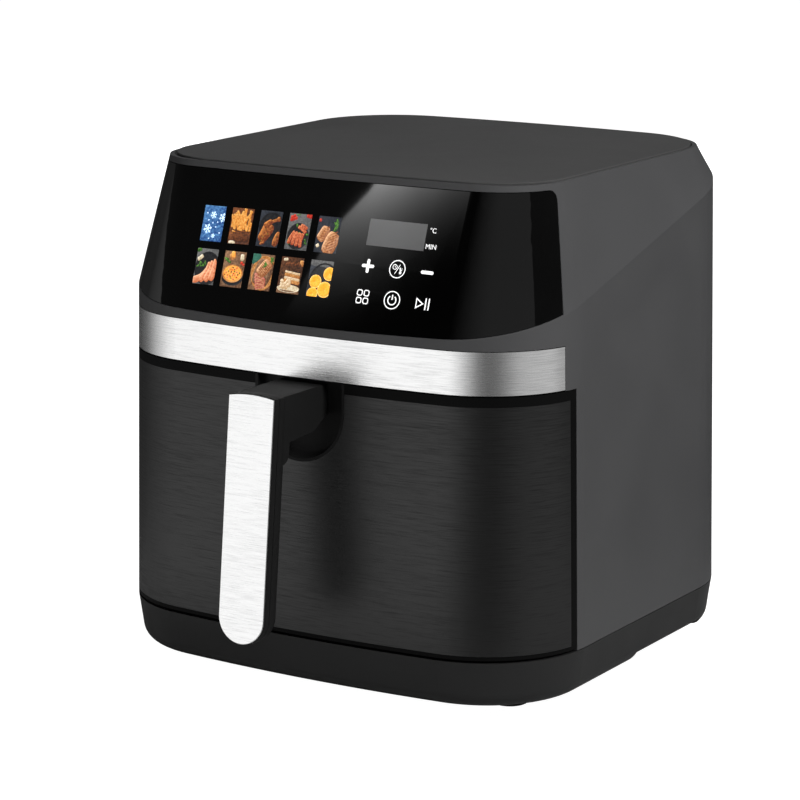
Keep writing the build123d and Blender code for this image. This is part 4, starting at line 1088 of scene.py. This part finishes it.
def stamp(title, key):
    """Joins the lines, presses them thin, and puts them on the panel's face."""
    bpy.ops.object.select_all(action="DESELECT")
    for piece in lines:
        piece.select_set(True)
    bpy.context.view_layer.objects.active = lines[0]
    bpy.ops.object.join()
    symbol = bpy.context.object
    symbol.name = title
    high = max(v.co.z for v in symbol.data.vertices)
    bpy.ops.object.mode_set(mode="EDIT")
    bpy.ops.mesh.select_all(action="SELECT")
    bpy.ops.transform.resize(value=(1, 1, PRINT_THICK / high), center_override=(0, 0, 0))
    bpy.ops.object.mode_set(mode="OBJECT")
    symbol.data.materials.clear()
    symbol.data.materials.append(glowing_white_print)
    symbol.data.transform(on_panel(key, out=TILE_DEEP / 2))
    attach(symbol, "housing")
    lines.clear()
    print(symbol.name, len(symbol.data.polygons), "faces")


# %% [markdown]
# The two keys with rings are the only key solids that wide. The lower one is the power key: an
# open ring with a bar in its gap. The upper one has a clock at the left, a stroke, and a
# thermometer with two marks at the right.

# %% Power sign, and clock and thermometer
KEY_RING_WIDE = 9.5 * MM
LEVEL = Vector((1, 0, 0))

key_solids = islands("touch_icons")
rings = [flat_frame(points) for points in key_solids if span_along(points, LEVEL) > KEY_RING_WIDE]
power_key, switch_key = sorted(rings, key=lambda flat: flat[0].z)
arc(2.55, 0.75, (0, -0.1), 125, 290)
bar(2.9, 0.75, (0, 1.6), 90)
stamp("power_sign", power_key)
arc(1.35, 0.42, (-1.65, 1.15), 0, 360)
bar(0.95, 0.34, (-1.65, 1.45), 90)
bar(0.75, 0.34, (-1.40, 1.10), 0)
bar(6.2, 0.42, (0.1, -0.1), 62)
bar(2.5, 0.95, (2.0, -0.2), 100)
arc(0.42, 0.75, (2.15, -1.9), 0, 360)
bar(0.7, 0.34, (3.0, 0.4), 10)
bar(0.7, 0.34, (2.9, -0.4), 10)
stamp("clock_and_thermometer_sign", switch_key)

# %% [markdown]
# The display's two units, degrees and minutes, are printed to the right of it. Letters are a
# curve object turned into a mesh. The minus key stands right below them, so its frame is also
# theirs, moved up the panel.

# %% Units beside the display
LETTER_SIZE = 3.9
minus_key = flat_frame(min(key_solids, key=lambda points: span_along(points, Vector((0, 0, 1)))))


def unit_label(words, title, up):
    """A word above the minus key, by so many metres up the panel."""
    bpy.ops.object.select_all(action="DESELECT")
    bpy.ops.object.text_add()
    label = bpy.context.object
    label.data.body = words
    label.data.size = LETTER_SIZE
    label.data.align_x = "CENTER"
    label.data.align_y = "CENTER"
    label.data.extrude = PRINT_THICK
    bpy.ops.object.convert(target="MESH")
    label = bpy.context.object
    label.name = title
    label.data.materials.clear()
    label.data.materials.append(glowing_white_print)
    label.data.transform(on_panel(minus_key, up=up, out=TILE_DEEP / 2))
    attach(label, "housing")
    print(title, len(label.data.polygons), "faces")


unit_label("\u00b0C", "unit_degrees", 23.4 * MM)
unit_label("MIN", "unit_minutes", 14.3 * MM)

# %% [markdown]
# ## Finishes on the fixed parts
# Every fixed part names a finish in the record, so one loop puts the materials above on all of
# them. The handle pocket is the one exception: its record names the panel's gloss, and it needs a
# duller black.

# %% Put the finishes on
finish["picture_print"] = inks["stone"]
finish["display_grey"] = moulded(
    "display_window", (0.085, 0.085, 0.086), (0.115, 0.115, 0.116), 0.3, 0.000002, 300, 1.0
)
# The panel's icons take the same white print, painted glow included.
finish["icon_white"] = glowing_white_print

for row in frame["record"]["subparts"]:
    part = nodes[row["node"]]
    part.data.materials.clear()
    part.data.materials.append(finish[row["material_slot"]])
nodes["handle_pocket"].data.materials[0] = pocket_black

# %% [markdown]
# ## Finish
# The visual model has to stay inside the box of the fixed model, give or take a few millimetres.

# %% Finish
print("scene built")
